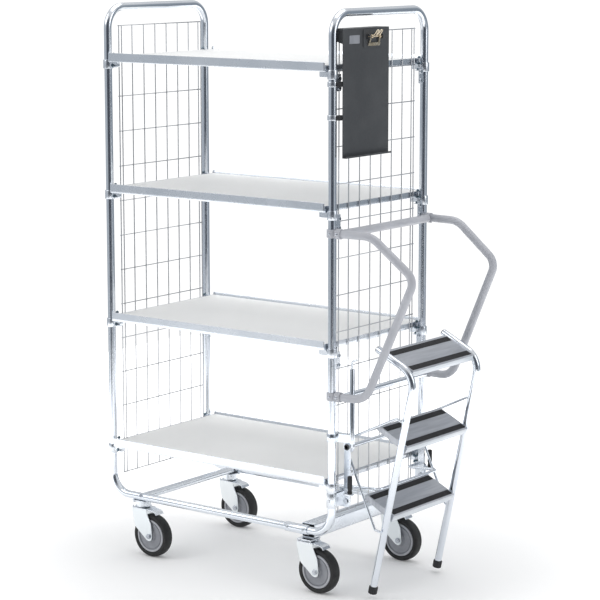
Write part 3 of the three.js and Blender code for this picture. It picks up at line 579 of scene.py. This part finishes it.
# ------------------------------------------------------------------ mesh ends

for end, side in ENDS.items():
    x = side * (HALF_LENGTH - TUBE_R)
    wires = []
    for y in MESH_Y:
        wires.append(tube([(x - side * 0.9, y, MESH_Z[0] - 1.7), (x - side * 0.9, y, MESH_Z[-1] + 1.7)],
                          WIRE_R, 8, 0.4))
    for z in MESH_Z:
        wires.append(tube([(x + side * 0.9, -183.7, z), (x + side * 0.9, 183.7, z)], WIRE_R, 8, 0.4))
    add(f"{end}_mesh_wires", "trolley", zinc_wire, joined(*wires), (f"{end}_mesh_panel",))

# ------------------------------------------------------------------ grab handles

for name, side in SIDES.items():
    y = side * HALF_WIDTH
    start = HALF_LENGTH + 22
    turn = at(HALF_LENGTH, y, 0) @ Matrix.Rotation(-side * TOE_IN, 4, "Z") @ at(-HALF_LENGTH, -y, 0)
    corners = [(start, y, HANDLE_TOP), (516, y, HANDLE_TOP), (648, y, 897), (500, y, HANDLE_LOW),
               (start, y, HANDLE_LOW)]
    add(f"{name}_handle_tube", "trolley", grey_paint,
        tube(route(corners, [70, 38, 55], 14), TUBE_R, 32), (f"{name}_handle_loop",), place=turn)
    clamps, screws = [], []
    for z in (HANDLE_TOP, HANDLE_LOW):
        clamps.append(collar((HALF_LENGTH, y, z), (0, 0, 1), RING_BORE, 15, -11, 11))
        socket = [(11.4, 13), (13.4, 13), (14, 13.8), (14, 28.6), (13.4, 30), (11.4, 30)]
        clamps.append(lathe(socket, (HALF_LENGTH, y, z), (1, 0, 0), 32, closed=True))
        screws.append(dome((HALF_LENGTH + 21, y + side * 13.6, z), (0, side, 0), 4.2, 2.4))
        screws.append(dome((HALF_LENGTH, y + side * 14.5, z), (0, side, 0), 4.2, 2.2))
    add(f"{name}_handle_clamps", "trolley", grey_paint, joined(*clamps), place=turn)
    add(f"{name}_handle_screws", "trolley", zinc_bolt, joined(*screws), place=turn)

CROSSBAR_X = HALF_LENGTH + 27
reach = HALF_WIDTH - 19
for name, z, radius, slot, coat in (("upper", HANDLE_TOP, TUBE_R, "grey_paint", grey_paint),
                                    ("lower", HANDLE_LOW, 8, "zinc_tube", zinc_tube)):
    add(f"{name}_cross_rail", "trolley", coat,
        tube([(CROSSBAR_X, -reach, z), (CROSSBAR_X, reach, z)], radius, 28), (f"{name}_crossbar",))

# ------------------------------------------------------------------ writing board

BOARD_X = HALF_LENGTH + 25
B_LOW_Y, B_HIGH_Y, B_LOW_Z, B_TOP_Z = -206, 4, 1201, 1540
sheet = 2
HOOK_X = HALF_LENGTH - TUBE_R - 5
inset_y = B_LOW_Y + 6
section = [
    (BOARD_X + 13, B_LOW_Z), (BOARD_X + 13, B_LOW_Z + 5), (BOARD_X + 11.2, B_LOW_Z + 5),
    (BOARD_X + 11.2, B_LOW_Z + sheet), (BOARD_X + sheet, B_LOW_Z + sheet), (BOARD_X + sheet, B_TOP_Z),
    (BOARD_X, B_TOP_Z), (BOARD_X, B_LOW_Z),
]
hooked_roof = [
    (BOARD_X + 1.2, B_TOP_Z), (HOOK_X, B_TOP_Z), (HOOK_X, B_TOP_Z - 13), (HOOK_X + 1.8, B_TOP_Z - 13),
    (HOOK_X + 1.8, B_TOP_Z - sheet), (BOARD_X + 1.2, B_TOP_Z - sheet),
]
cheek_back = HALF_LENGTH - TUBE_R + 3
cheek = [(BOARD_X + 1, B_TOP_Z - 1), (cheek_back, B_TOP_Z - 1), (cheek_back, B_TOP_Z - 31),
         (BOARD_X + 1, B_TOP_Z - 41)]
add("writing_plate", "trolley", black_paint, joined(
    slab(section, B_LOW_Y, B_HIGH_Y),
    slab(hooked_roof, inset_y, B_HIGH_Y),
    slab(cheek, inset_y, inset_y + sheet),
    slab(cheek, B_HIGH_Y - sheet, B_HIGH_Y),
), ("writing_board",), bevel=0.5)

for name, z in (("upper", 1389), ("lower", 1301)):
    ring = collar((HALF_LENGTH, -HALF_WIDTH, z), (0, 0, 1), RING_BORE, RING_R, 0, 14)
    tongue = block((HALF_LENGTH + 10, -HALF_WIDTH - 3, z + 0.5),
                   (BOARD_X - 0.3, -HALF_WIDTH + 20, z + 13.5))
    add(f"{name}_strap", "trolley", black_rubber, tongue,
        (f"board_strap_{name}",), bevel=0.6)
    add(f"{name}_strap_ring", "trolley", zinc_sheet, ring)
    rivet = dome((BOARD_X + 2, -HALF_WIDTH + 15, z + 7), (1, 0, 0), 3, 1.2)
    add(f"{name}_strap_rivet", "trolley", black_paint, rivet)

CLIP_Y = -72
CLIP_X = BOARD_X + 2.3
PIVOT_X = CLIP_X + 9
PIVOT_Z = 1517
plate_outline = rounded(rect(CLIP_Y - 45, 1488, CLIP_Y + 45, 1536), 4, 5)
plate = slab(plate_outline, CLIP_X, CLIP_X + 2, "yz")
ears = []
for side in (-1, 1):
    y = CLIP_Y + side * 30
    outline = rounded(rect(CLIP_X + 1, PIVOT_Z - 7, PIVOT_X + 5, PIVOT_Z + 7), [0, 5, 5, 0], 5)
    ears.append(slab(outline, y - 1.5, y + 1.5))
add("clip_plate", "trolley", black_paint, joined(plate, *ears), ("clip_base",), bevel=0.5)
label = slab(rounded(rect(-178, 1500, -132, 1522), 2, 4), BOARD_X + 1.9, BOARD_X + 2.5, "yz")
add("board_label_plate", "trolley", grey_plastic, label, bevel=0.2)

# The jaw's bar and stays are drawn upright and leant back about the bar's lower edge.
JAW_DROP = 25
JAW_SHEET = 1.6
jaw_outline = rect(CLIP_Y - 27, PIVOT_Z - JAW_DROP, CLIP_Y + 27, PIVOT_Z - 16)
bar = slab(rounded(jaw_outline, 3, 5), 0, JAW_SHEET, "yz")
stays = [
    slab(rounded(rect(y - 3, PIVOT_Z - 17, y + 3, PIVOT_Z + 3), [0, 0, 2, 2], 4), 0, JAW_SHEET, "yz")
    for y in (CLIP_Y - 21, CLIP_Y + 21)
]
jaw_lean = Matrix.Rotation(math.radians(12), 4, "Y")
lean_back = at(CLIP_X + 2.6, 0, PIVOT_Z - JAW_DROP) @ jaw_lean @ at(0, 0, JAW_DROP - PIVOT_Z)
pin = tube([(PIVOT_X, CLIP_Y - 32, PIVOT_Z), (PIVOT_X, CLIP_Y + 32, PIVOT_Z)], 2, 16, 0.5)
lever = []
for side in (-1, 1):
    base_y = CLIP_Y + side * 8
    corners = [
        (PIVOT_X, base_y - 5, PIVOT_Z - 1), (PIVOT_X + 15, base_y - 5, PIVOT_Z + 17),
        (PIVOT_X + 15, base_y + 5, PIVOT_Z + 17), (PIVOT_X, base_y + 5, PIVOT_Z - 1),
    ]
    lever.append(tube(route(corners, [4.6, 4.6], 8), 1.5, 12, 0.4))
coil = []
for side in (-1, 1):
    turns = [
        (PIVOT_X + 3.6 * math.cos(a), CLIP_Y + side * (14 + a * 0.28), PIVOT_Z + 3.6 * math.sin(a))
        for a in [2 * math.pi * k / 16 for k in range(4 * 16 + 1)]
    ]
    coil.append(tube(turns, 0.9, 8, 0.2))
add("clip_lever", "clip_jaw", brass,
    joined(moved(joined(bar, *stays), lean_back), pin, *lever, *coil), ("clip_jaw",), angle=50)

# ------------------------------------------------------------------ castors


def castor(name, x, y, plate_top):
    here = at(x, y, 0)
    fixed, swivel, wheel = "trolley", f"{name}_swivel", f"{name}_wheel"
    plate = block((-24, -24, plate_top - 3), (24, 24, plate_top))
    add(f"{name}_plate", fixed, zinc_sheet, plate, (f"{name}_mount",), bevel=1.4, place=here)
    race = [
        (2, CROWN_Z + 0.4), (15, CROWN_Z + 0.4), (21, CROWN_Z + 1.6), (23.4, CROWN_Z + 3.4),
        (23.8, CROWN_Z + 4.6), (22.4, CROWN_Z + 5.8), (21.6, plate_top - 3), (2, plate_top - 3),
    ]
    add(f"{name}_race", fixed, zinc_sheet, lathe(race, (0, 0, 0), (0, 0, 1), 36), place=here)
    studs = [
        hexagon((sx * 19, sy * 19, plate_top - 7), (0, 0, 1), 4, 4.2)
        for sx in (-1, 1) for sy in (-1, 1)
    ]
    add(f"{name}_studs", fixed, zinc_bolt, joined(*studs), place=here)

    axle_x, axle_z = TRAIL, WHEEL_R
    outline = [
        (-26, CROWN_Z - 1), (-26, CROWN_Z - 14), (-15, axle_z + 22), (axle_x - 26, axle_z + 2),
        (axle_x - 9, axle_z - 12), (axle_x, axle_z - 15), (axle_x + 9, axle_z - 11), (axle_x + 12, axle_z),
        (axle_x + 8, axle_z + 38), (30, CROWN_Z - 14), (28, CROWN_Z - 1),
    ]
    smooth = rounded(outline, [0, 12, 20, 8, 6, 7, 4, 6, 14, 8, 0], 5)
    cheeks = [slab(smooth, min(side * 21, side * 18.2), max(side * 21, side * 18.2)) for side in (-1, 1)]
    crown = block((-26, -21.2, CROWN_Z - 3.2), (28, 21.2, CROWN_Z))
    hood = slab([(26, CROWN_Z - 0.6), (49, 138.6), (58, 134.4), (62, 127.2), (60, 126.6), (56.4, 132.4),
                 (48, 136.2), (26, CROWN_Z - 3.2)], -17, 17)
    add(f"{name}_fork_shell", swivel, zinc_fork, joined(*cheeks),
        (f"{name}_fork",), bevel=0.9, place=here, angle=30)
    add(f"{name}_fork_crown", swivel, zinc_sheet, crown, bevel=1.2, place=here)
    add(f"{name}_fork_hood", swivel, zinc_sheet, hood, bevel=0.6, place=here)
    axle = [
        tube([(axle_x, -21.5, axle_z), (axle_x, 21.5, axle_z)], 6, 20, 0.5),
        hexagon((axle_x, -21, axle_z), (0, -1, 0), 8.4, 4.6),
        hexagon((axle_x, 21, axle_z), (0, 1, 0), 8.4, 4.6),
        dome((axle_x, -25.2, axle_z), (0, -1, 0), 4.6, 1.6),
        dome((axle_x, 25.2, axle_z), (0, 1, 0), 4.6, 1.6),
        dome((-21, -21, CROWN_Z + 3), (-1, -0.6, 0), 3.4, 2.4),
    ]
    add(f"{name}_axle", swivel, zinc_bolt, joined(*axle), place=here)

    hub = at(x + axle_x, y, axle_z)
    tyre_section = [
        (48, -13), (52, -15.2), (56.5, -16), (59.6, -14.2), (61.5, -10.6), (62.4, -6), (62.5, 0),
        (62.4, 6), (61.5, 10.6), (59.6, 14.2), (56.5, 16), (52, 15.2), (48, 13),
    ]
    add(f"{name}_tread_ring", wheel, tyre_rubber,
        lathe(tyre_section, (0, 0, 0), (0, 1, 0), 72, closed=True), (f"{name}_tyre",), place=hub, angle=50)
    half = [
        (47.7, 13), (46.4, 14.6), (42.6, 14.8), (41.6, 13.8), (40.4, 11), (38.4, 11), (37.2, 12.6),
        (36, 12.8), (22, 11.2), (18.5, 11.4), (17, 13.2), (16, 15.6), (15, 16), (8, 16), (6.2, 15.4),
    ]
    rim_section = half + [(r, -t) for r, t in reversed(half)]
    add(f"{name}_wheel_disc", wheel, grey_plastic,
        lathe(rim_section, (0, 0, 0), (0, 1, 0), 72, closed=True), (f"{name}_rim",), place=hub, angle=40)
    bands = []
    for side in (-1, 1):
        band = [(41.9, 14.2), (42.6, 15.1), (46.4, 15.0), (47.5, 13.6), (46, 12), (42.5, 12)]
        bands.append(lathe([(r, side * t) for r, t in band], (0, 0, 0), (0, 1, 0), 72, closed=True))
    add(f"{name}_wheel_band", wheel, pale_plastic, joined(*bands), place=hub)


for end in ENDS:
    for name in SIDES:
        castor(f"castor_{name}_{end}", CASTOR_X[end], CASTOR_Y[name], BASE_BAR_Z + CROSS[end][1] - 0.3)

# ------------------------------------------------------------------ ladder carrier

for name, side in SIDES.items():
    y = side * HALF_WIDTH
    low, high = sorted((side * 182, side * 186))
    ring = collar((HALF_LENGTH, y, 0), (0, 0, 1), RING_BORE, RING_R, 252, 292)
    plate = slab(rounded(rect(399, 252, 434, 304), [2, 8, 8, 2], 5), low, high)
    web_low, web_high = sorted((side * 183, side * 211))
    web = block((400, web_low, 253), (404, web_high, 291))
    tab_low, tab_high = sorted((side * 182.5, side * 201))
    tab = slab(rounded(rect(421, tab_low, 447, tab_high), 4, 4), 288, 292, "xy")
    add(f"{name}_carrier_bracket", "trolley", zinc_sheet, joined(ring, plate, web, tab),
        (f"ladder_bracket_{name}",), bevel=0.7)
    pivot = [
        tube([(ARM_X, side * 173.5, ARM_Z), (ARM_X, side * 189, ARM_Z)], 4.8, 20, 0.6),
        hexagon((ARM_X, side * 176, ARM_Z), (0, -side, 0), 8, 3.4),
        hexagon((ARM_X, side * 186, ARM_Z), (0, side, 0), 8, 3.4),
        hexagon((HALF_LENGTH, side * (HALF_WIDTH + 13), 272), (0, side, 0), 5, 3),
    ]
    add(f"{name}_carrier_bolts", "trolley", zinc_bolt, joined(*pivot))
    stop = [
        (5.4, 292.4), (6.4, 293.4), (6.5, 299), (5.6, 300.5), (5.6, 304), (6.5, 305.5), (6.5, 339),
        (5.6, 341.4), (3.5, 342),
    ]
    add(f"{name}_stop_buffer", "trolley", black_rubber,
        lathe(stop, (440, side * 194, 0), (0, 0, 1), 28), (f"ladder_buffer_{name}",))

    arm_low, arm_high = sorted((side * 176.5, side * 181.5))
    outline = [
        (ARM_X + 10 * math.sin(a), HINGE_Z + 10 * math.cos(a))
        for a in [math.radians(-90 + 180 * k / 12) for k in range(13)]
    ] + [
        (ARM_X + 10 * math.sin(a), ARM_Z + 10 * math.cos(a))
        for a in [math.radians(90 + 180 * k / 12) for k in range(13)]
    ]
    add(f"{name}_carrier_arm", "ladder_arms", zinc_sheet, slab(outline, arm_low, arm_high),
        (f"swing_arm_{name}",), bevel=0.8)

shaft = tube([(ARM_X, -184.8, HINGE_Z), (ARM_X, 184.8, HINGE_Z)], 6, 24)
nuts = [hexagon((ARM_X, side * 181.8, HINGE_Z), (0, side, 0), 9, 3) for side in (-1, 1)]
add("carrier_shaft", "ladder_arms", zinc_tube, shaft, ("hinge_shaft",))
add("carrier_nuts", "ladder_arms", black_paint, joined(*nuts))

stop_route = route([
    (403.5, -181.7, 297), (403.5, -140, 297), (500, -140, 303), (500, 140, 303), (403.5, 140, 297),
    (403.5, 181.7, 297),
], [10, 15, 15, 10], 10)
add("stop_rod", "trolley", zinc_tube, tube(stop_route, 4.2, 20), ("stop_bar",))

LATCH = (445, -192)
guide = [(4, 431), (6.4, 431), (7, 431.6), (7, 636.2), (6.4, 637), (4, 637)]
arm_outline = [
    (HALF_LENGTH + 8, -210), (LATCH[0], -199), (LATCH[0], -190), (HALF_LENGTH + 8, -192),
]
arm = slab(rounded(arm_outline, 2, 3), 435, 457, "xy")
ring = collar((HALF_LENGTH, -HALF_WIDTH, 0), (0, 0, 1), RING_BORE, RING_R, 435, 457)
add("release_guide", "trolley", zinc_tube,
    joined(lathe(guide, (*LATCH, 0), (0, 0, 1), 28, closed=True), ring, arm), ("release_tube",), angle=40)
hook = route([(*LATCH, 419), (*LATCH, 657), (LATCH[0] + 16, LATCH[1], 663)], [6], 8)
add("release_hook", "release_rod", zinc_tube, tube(hook, 3, 16, 0.8), ("release_rod",))

# ------------------------------------------------------------------ ladder

LADDER = at(ARM_X, 0, HINGE_Z) @ Matrix.Rotation(LADDER_TILT, 4, "Y")


def rail_x(z):
    return RAIL_CORNER + (RAIL_TOP - z) * math.tan(LEAN)


def along_rail(y, distance):
    return Vector((FOOT_X - distance * math.sin(LEAN), y, FOOT_LOW + distance * math.cos(LEAN)))


for name, side in SIDES.items():
    y = side * RAIL_Y
    rail = route([(-46, y, RAIL_TOP), (RAIL_CORNER, y, RAIL_TOP), along_rail(y, 4.3)], [60], 18)
    add(f"{name}_rail_tube", "ladder", zinc_tube, tube(rail, RAIL_R, 32),
        (f"ladder_rail_{name}",), place=LADDER)
    plug = [(7.5, -1), (8.6, 0), (8.6, 0.6), (8, 2.2), (4, 3.2)]
    add(f"{name}_rail_plug", "ladder", black_rubber,
        lathe(plug, (-46, y, RAIL_TOP), (-1, 0, 0), 28), place=LADDER)
    foot = [
        (11.4, 0), (12.2, 0.8), (12.5, 2), (12.5, 5), (11.8, 5.8), (11.8, 7), (12.5, 7.8), (12.5, 18),
        (11.8, 19.6), (10.4, 20), (10.2, 6), (2, 6), (2, 0),
    ]
    axis = (along_rail(y, 1) - along_rail(y, 0)).normalized()
    add(f"{name}_rail_foot", "ladder", black_rubber,
        lathe(foot, along_rail(y, 0), axis, 32, closed=True), (f"ladder_foot_{name}",), place=LADDER)

    by = side * 172.5
    brace = route([
        (rail_x(158) - 1, by, 158), (RAIL_CORNER + 9, by, 156), (-22, by, 5),
        (RAIL_CORNER + 86, by, -158), (rail_x(-152) - 1, by, -152),
    ], [6, 18, 8], 10)
    low, high = sorted((side * 169, side * 176))
    boss_outline = [
        (17 * math.cos(math.radians(a)), 17 * math.sin(math.radians(a))) for a in range(0, 360, 12)
    ]
    add(f"{name}_brace_rod", "ladder", zinc_tube,
        tube(brace, 3.5, 16, 0.8), (f"ladder_brace_{name}",), place=LADDER)
    add(f"{name}_brace_boss", "ladder", zinc_sheet, slab(boss_outline, low, high),
        bevel=0.8, place=LADDER)

TREADS = ("top", "middle", "bottom")
for index, name in enumerate(TREADS):
    top = RAIL_TOP + 3 - index * TREAD_SPACING
    front = RAIL_CORNER - 16 if index == 0 else rail_x(top) + 14
    back = front - TREAD_DEPTH
    strips = [(back + 10, back + 28), (front - 22, front - 4)]
    surface = [(back, top - 2), (back + 1.4, top - 0.4), (back + 3, top)]
    x = back + 3
    while x < front - 5:
        in_strip = any(a - 2.8 < x < b + 0.4 for a, b in strips)
        if not in_strip:
            surface += [(x + 0.4, top), (x + 0.9, top + 0.5), (x + 1.7, top + 0.5), (x + 2.2, top)]
        x += 4
    surface += [(front - 3, top), (front - 1.2, top - 0.6), (front, top - 2.4)]
    under = [
        (front, top - 20), (front - 2.5, top - 20), (front - 2.5, top - 2.5), (back + 2.5, top - 2.5),
        (back + 2.5, top - 14), (back, top - 14),
    ]
    add(f"{name}_tread_sheet", "ladder", tread_metal,
        slab(surface + under, -TREAD_HALF, TREAD_HALF), (f"tread_{name}",), place=LADDER, angle=30)
    nose = [
        (front - 1, top - 2.6), (front + 0.8, top - 3), (front + 0.8, top - 8), (front + 0.3, top - 9),
        (front + 0.3, top - 13), (front + 0.8, top - 14), (front + 0.8, top - 19), (front - 1, top - 20),
    ]
    # The nose takes the lighter copy of the tread metal: a painted highlight on the tread's front edge.
    add(f"{name}_tread_nose", "ladder", nose_painted_highlight, slab(nose, -TREAD_HALF, TREAD_HALF),
        bevel=0.3, place=LADDER)
    grips = [
        slab(rounded(rect(a, -TREAD_HALF + 5, b, TREAD_HALF - 5), 2, 4), top - 0.2, top + 0.8, "xy")
        for a, b in strips
    ]
    add(f"{name}_tread_grips", "ladder", grit_strip, joined(*grips),
        bevel=0.2, place=LADDER)
    ends = []
    for side in (-1, 1):
        y0, y1 = sorted((side * (TREAD_HALF - 0.2), side * (TREAD_HALF - 2.4)))
        corners = [(back + 2, top - 14), (front - 2, top - 19), (front - 2, top - 2), (back + 2, top - 2)]
        ends.append(slab(rounded(corners, [4, 4, 1, 1], 4), y0, y1))
    add(f"{name}_tread_ends", "ladder", tread_metal, joined(*ends), bevel=0.5, place=LADDER)

# ------------------------------------------------------------------ stage, light and camera

floor_mesh = bpy.data.meshes.new("floor")
FLOOR_HALF = 2.6
floor_corners = [(x, y, 0) for x, y in rect(-FLOOR_HALF, -FLOOR_HALF, FLOOR_HALF, FLOOR_HALF)]
floor_mesh.from_pydata(floor_corners, [], [(0, 1, 2, 3)])
floor = bpy.data.objects.new("floor", floor_mesh)
bpy.context.scene.collection.objects.link(floor)
look = Look("floor", (0.92, 0.92, 0.92), 0.7)
look.shades(look.noise(1.5, 2), (0.90, 0.90, 0.90), (0.92, 0.92, 0.92))
look.shader.inputs["Emission Color"].default_value = (1, 1, 1, 1)
# The floor glows more away from the object, so that its far edge meets the white of the sky.
distance = look.nodes.new("ShaderNodeVectorMath")
distance.operation = "LENGTH"
glow = look.nodes.new("ShaderNodeMapRange")
glow.interpolation_type = "SMOOTHSTEP"
glow.inputs["From Min"].default_value = 0.5
glow.inputs["From Max"].default_value = 1.7
glow.inputs["To Min"].default_value = 0.12
glow.inputs["To Max"].default_value = 0.75
look.links.new(look.coords.outputs["Object"], distance.inputs[0])
look.links.new(distance.outputs["Value"], glow.inputs["Value"])
look.links.new(glow.outputs["Result"], look.shader.inputs["Emission Strength"])
floor_mesh.materials.append(look.material)


def area_light(name, place, target, size, power):
    light = bpy.data.lights.new(name, "AREA")
    light.shape = "RECTANGLE"
    light.size, light.size_y = size
    light.energy = power
    obj = bpy.data.objects.new(name, light)
    obj.location = place
    obj.rotation_euler = (Vector(target) - Vector(place)).to_track_quat("-Z", "Y").to_euler()
    bpy.context.scene.collection.objects.link(obj)


area_light("key", (-2.6, -3.0, 3.8), (0, 0, 0.7), (2.6, 2.6), 46)
area_light("side", (4.6, 0.9, 2.6), (0, 0, 0.8), (2.0, 3.2), 30)
area_light("top", (0, 0.6, 4.6), (0, 0, 0), (4.0, 3.0), 62)

world = bpy.data.worlds.new("studio")
bpy.context.scene.world = world
world.use_nodes = True
tree = world.node_tree
background = tree.nodes["Background"]
background.inputs["Strength"].default_value = 0.72
coords = tree.nodes.new("ShaderNodeTexCoord")
split = tree.nodes.new("ShaderNodeSeparateXYZ")
ramp = tree.nodes.new("ShaderNodeValToRGB")
tree.links.new(coords.outputs["Generated"], split.inputs["Vector"])
tree.links.new(split.outputs["Z"], ramp.inputs["Fac"])
stops = ramp.color_ramp.elements
stops[0].position, stops[0].color = 0.0, (0.62, 0.66, 0.71, 1)
stops[1].position, stops[1].color = 0.75, (1.0, 1.0, 1.0, 1)
extra = stops.new(0.28)
extra.color = (0.82, 0.85, 0.89, 1)
# The studio's dark side, which gives the bright metal its dark streaks.
facing = tree.nodes.new("ShaderNodeVectorMath")
facing.operation = "DOT_PRODUCT"
facing.inputs[1].default_value = (0.60, -0.80, 0.0)
dark = tree.nodes.new("ShaderNodeMapRange")
dark.interpolation_type = "SMOOTHSTEP"
dark.inputs["From Min"].default_value = 0.62
dark.inputs["From Max"].default_value = 0.90
dark.inputs["To Min"].default_value = 0.0
dark.inputs["To Max"].default_value = 0.93
shaded = tree.nodes.new("ShaderNodeMix")
shaded.data_type = "RGBA"
shaded.inputs["B"].default_value = (0.05, 0.06, 0.08, 1)
tree.links.new(coords.outputs["Generated"], facing.inputs[0])
tree.links.new(facing.outputs["Value"], dark.inputs["Value"])
tree.links.new(dark.outputs["Result"], shaded.inputs["Factor"])
tree.links.new(ramp.outputs["Color"], shaded.inputs["A"])
# A softer grey patch off the ladder end, which shades the ends of the shelves.
behind = tree.nodes.new("ShaderNodeVectorMath")
behind.operation = "DOT_PRODUCT"
behind.inputs[1].default_value = (0.60, 0.80, 0.0)
soft = tree.nodes.new("ShaderNodeMapRange")
soft.interpolation_type = "SMOOTHSTEP"
soft.inputs["From Min"].default_value = 0.80
soft.inputs["From Max"].default_value = 0.97
soft.inputs["To Min"].default_value = 0.0
soft.inputs["To Max"].default_value = 0.6
greyed = tree.nodes.new("ShaderNodeMix")
greyed.data_type = "RGBA"
greyed.inputs["B"].default_value = (0.16, 0.21, 0.26, 1)
tree.links.new(coords.outputs["Generated"], behind.inputs[0])
tree.links.new(behind.outputs["Value"], soft.inputs["Value"])
tree.links.new(soft.outputs["Result"], greyed.inputs["Factor"])
tree.links.new(shaded.outputs["Result"], greyed.inputs["A"])
seen = tree.nodes.new("ShaderNodeBackground")
seen.inputs["Color"].default_value = (1, 1, 1, 1)
seen.inputs["Strength"].default_value = 1.1
mix = tree.nodes.new("ShaderNodeMixShader")
path = tree.nodes.new("ShaderNodeLightPath")
tree.links.new(greyed.outputs["Result"], background.inputs["Color"])
tree.links.new(path.outputs["Is Camera Ray"], mix.inputs["Fac"])
tree.links.new(background.outputs["Background"], mix.inputs[1])
tree.links.new(seen.outputs["Background"], mix.inputs[2])
tree.links.new(mix.outputs["Shader"], tree.nodes["World Output"].inputs["Surface"])

CAMERA_PLACE = (3803.6, -4869.6, 1787.8)
CAMERA_YAW = 37.070
CAMERA_PITCH = 9.503
camera_data = bpy.data.cameras.new("camera")
camera_data.sensor_width = 36
camera_data.lens = 131.63
camera_data.clip_end = 100
camera = bpy.data.objects.new("camera", camera_data)
camera.location = (CAMERA_PLACE[0] * MM + TROLLEY_X, CAMERA_PLACE[1] * MM, CAMERA_PLACE[2] * MM)
camera.rotation_euler = (math.radians(90 - CAMERA_PITCH), 0, math.radians(CAMERA_YAW))
bpy.context.scene.collection.objects.link(camera)
bpy.context.scene.camera = camera
bpy.context.scene.view_settings.view_transform = "Standard"
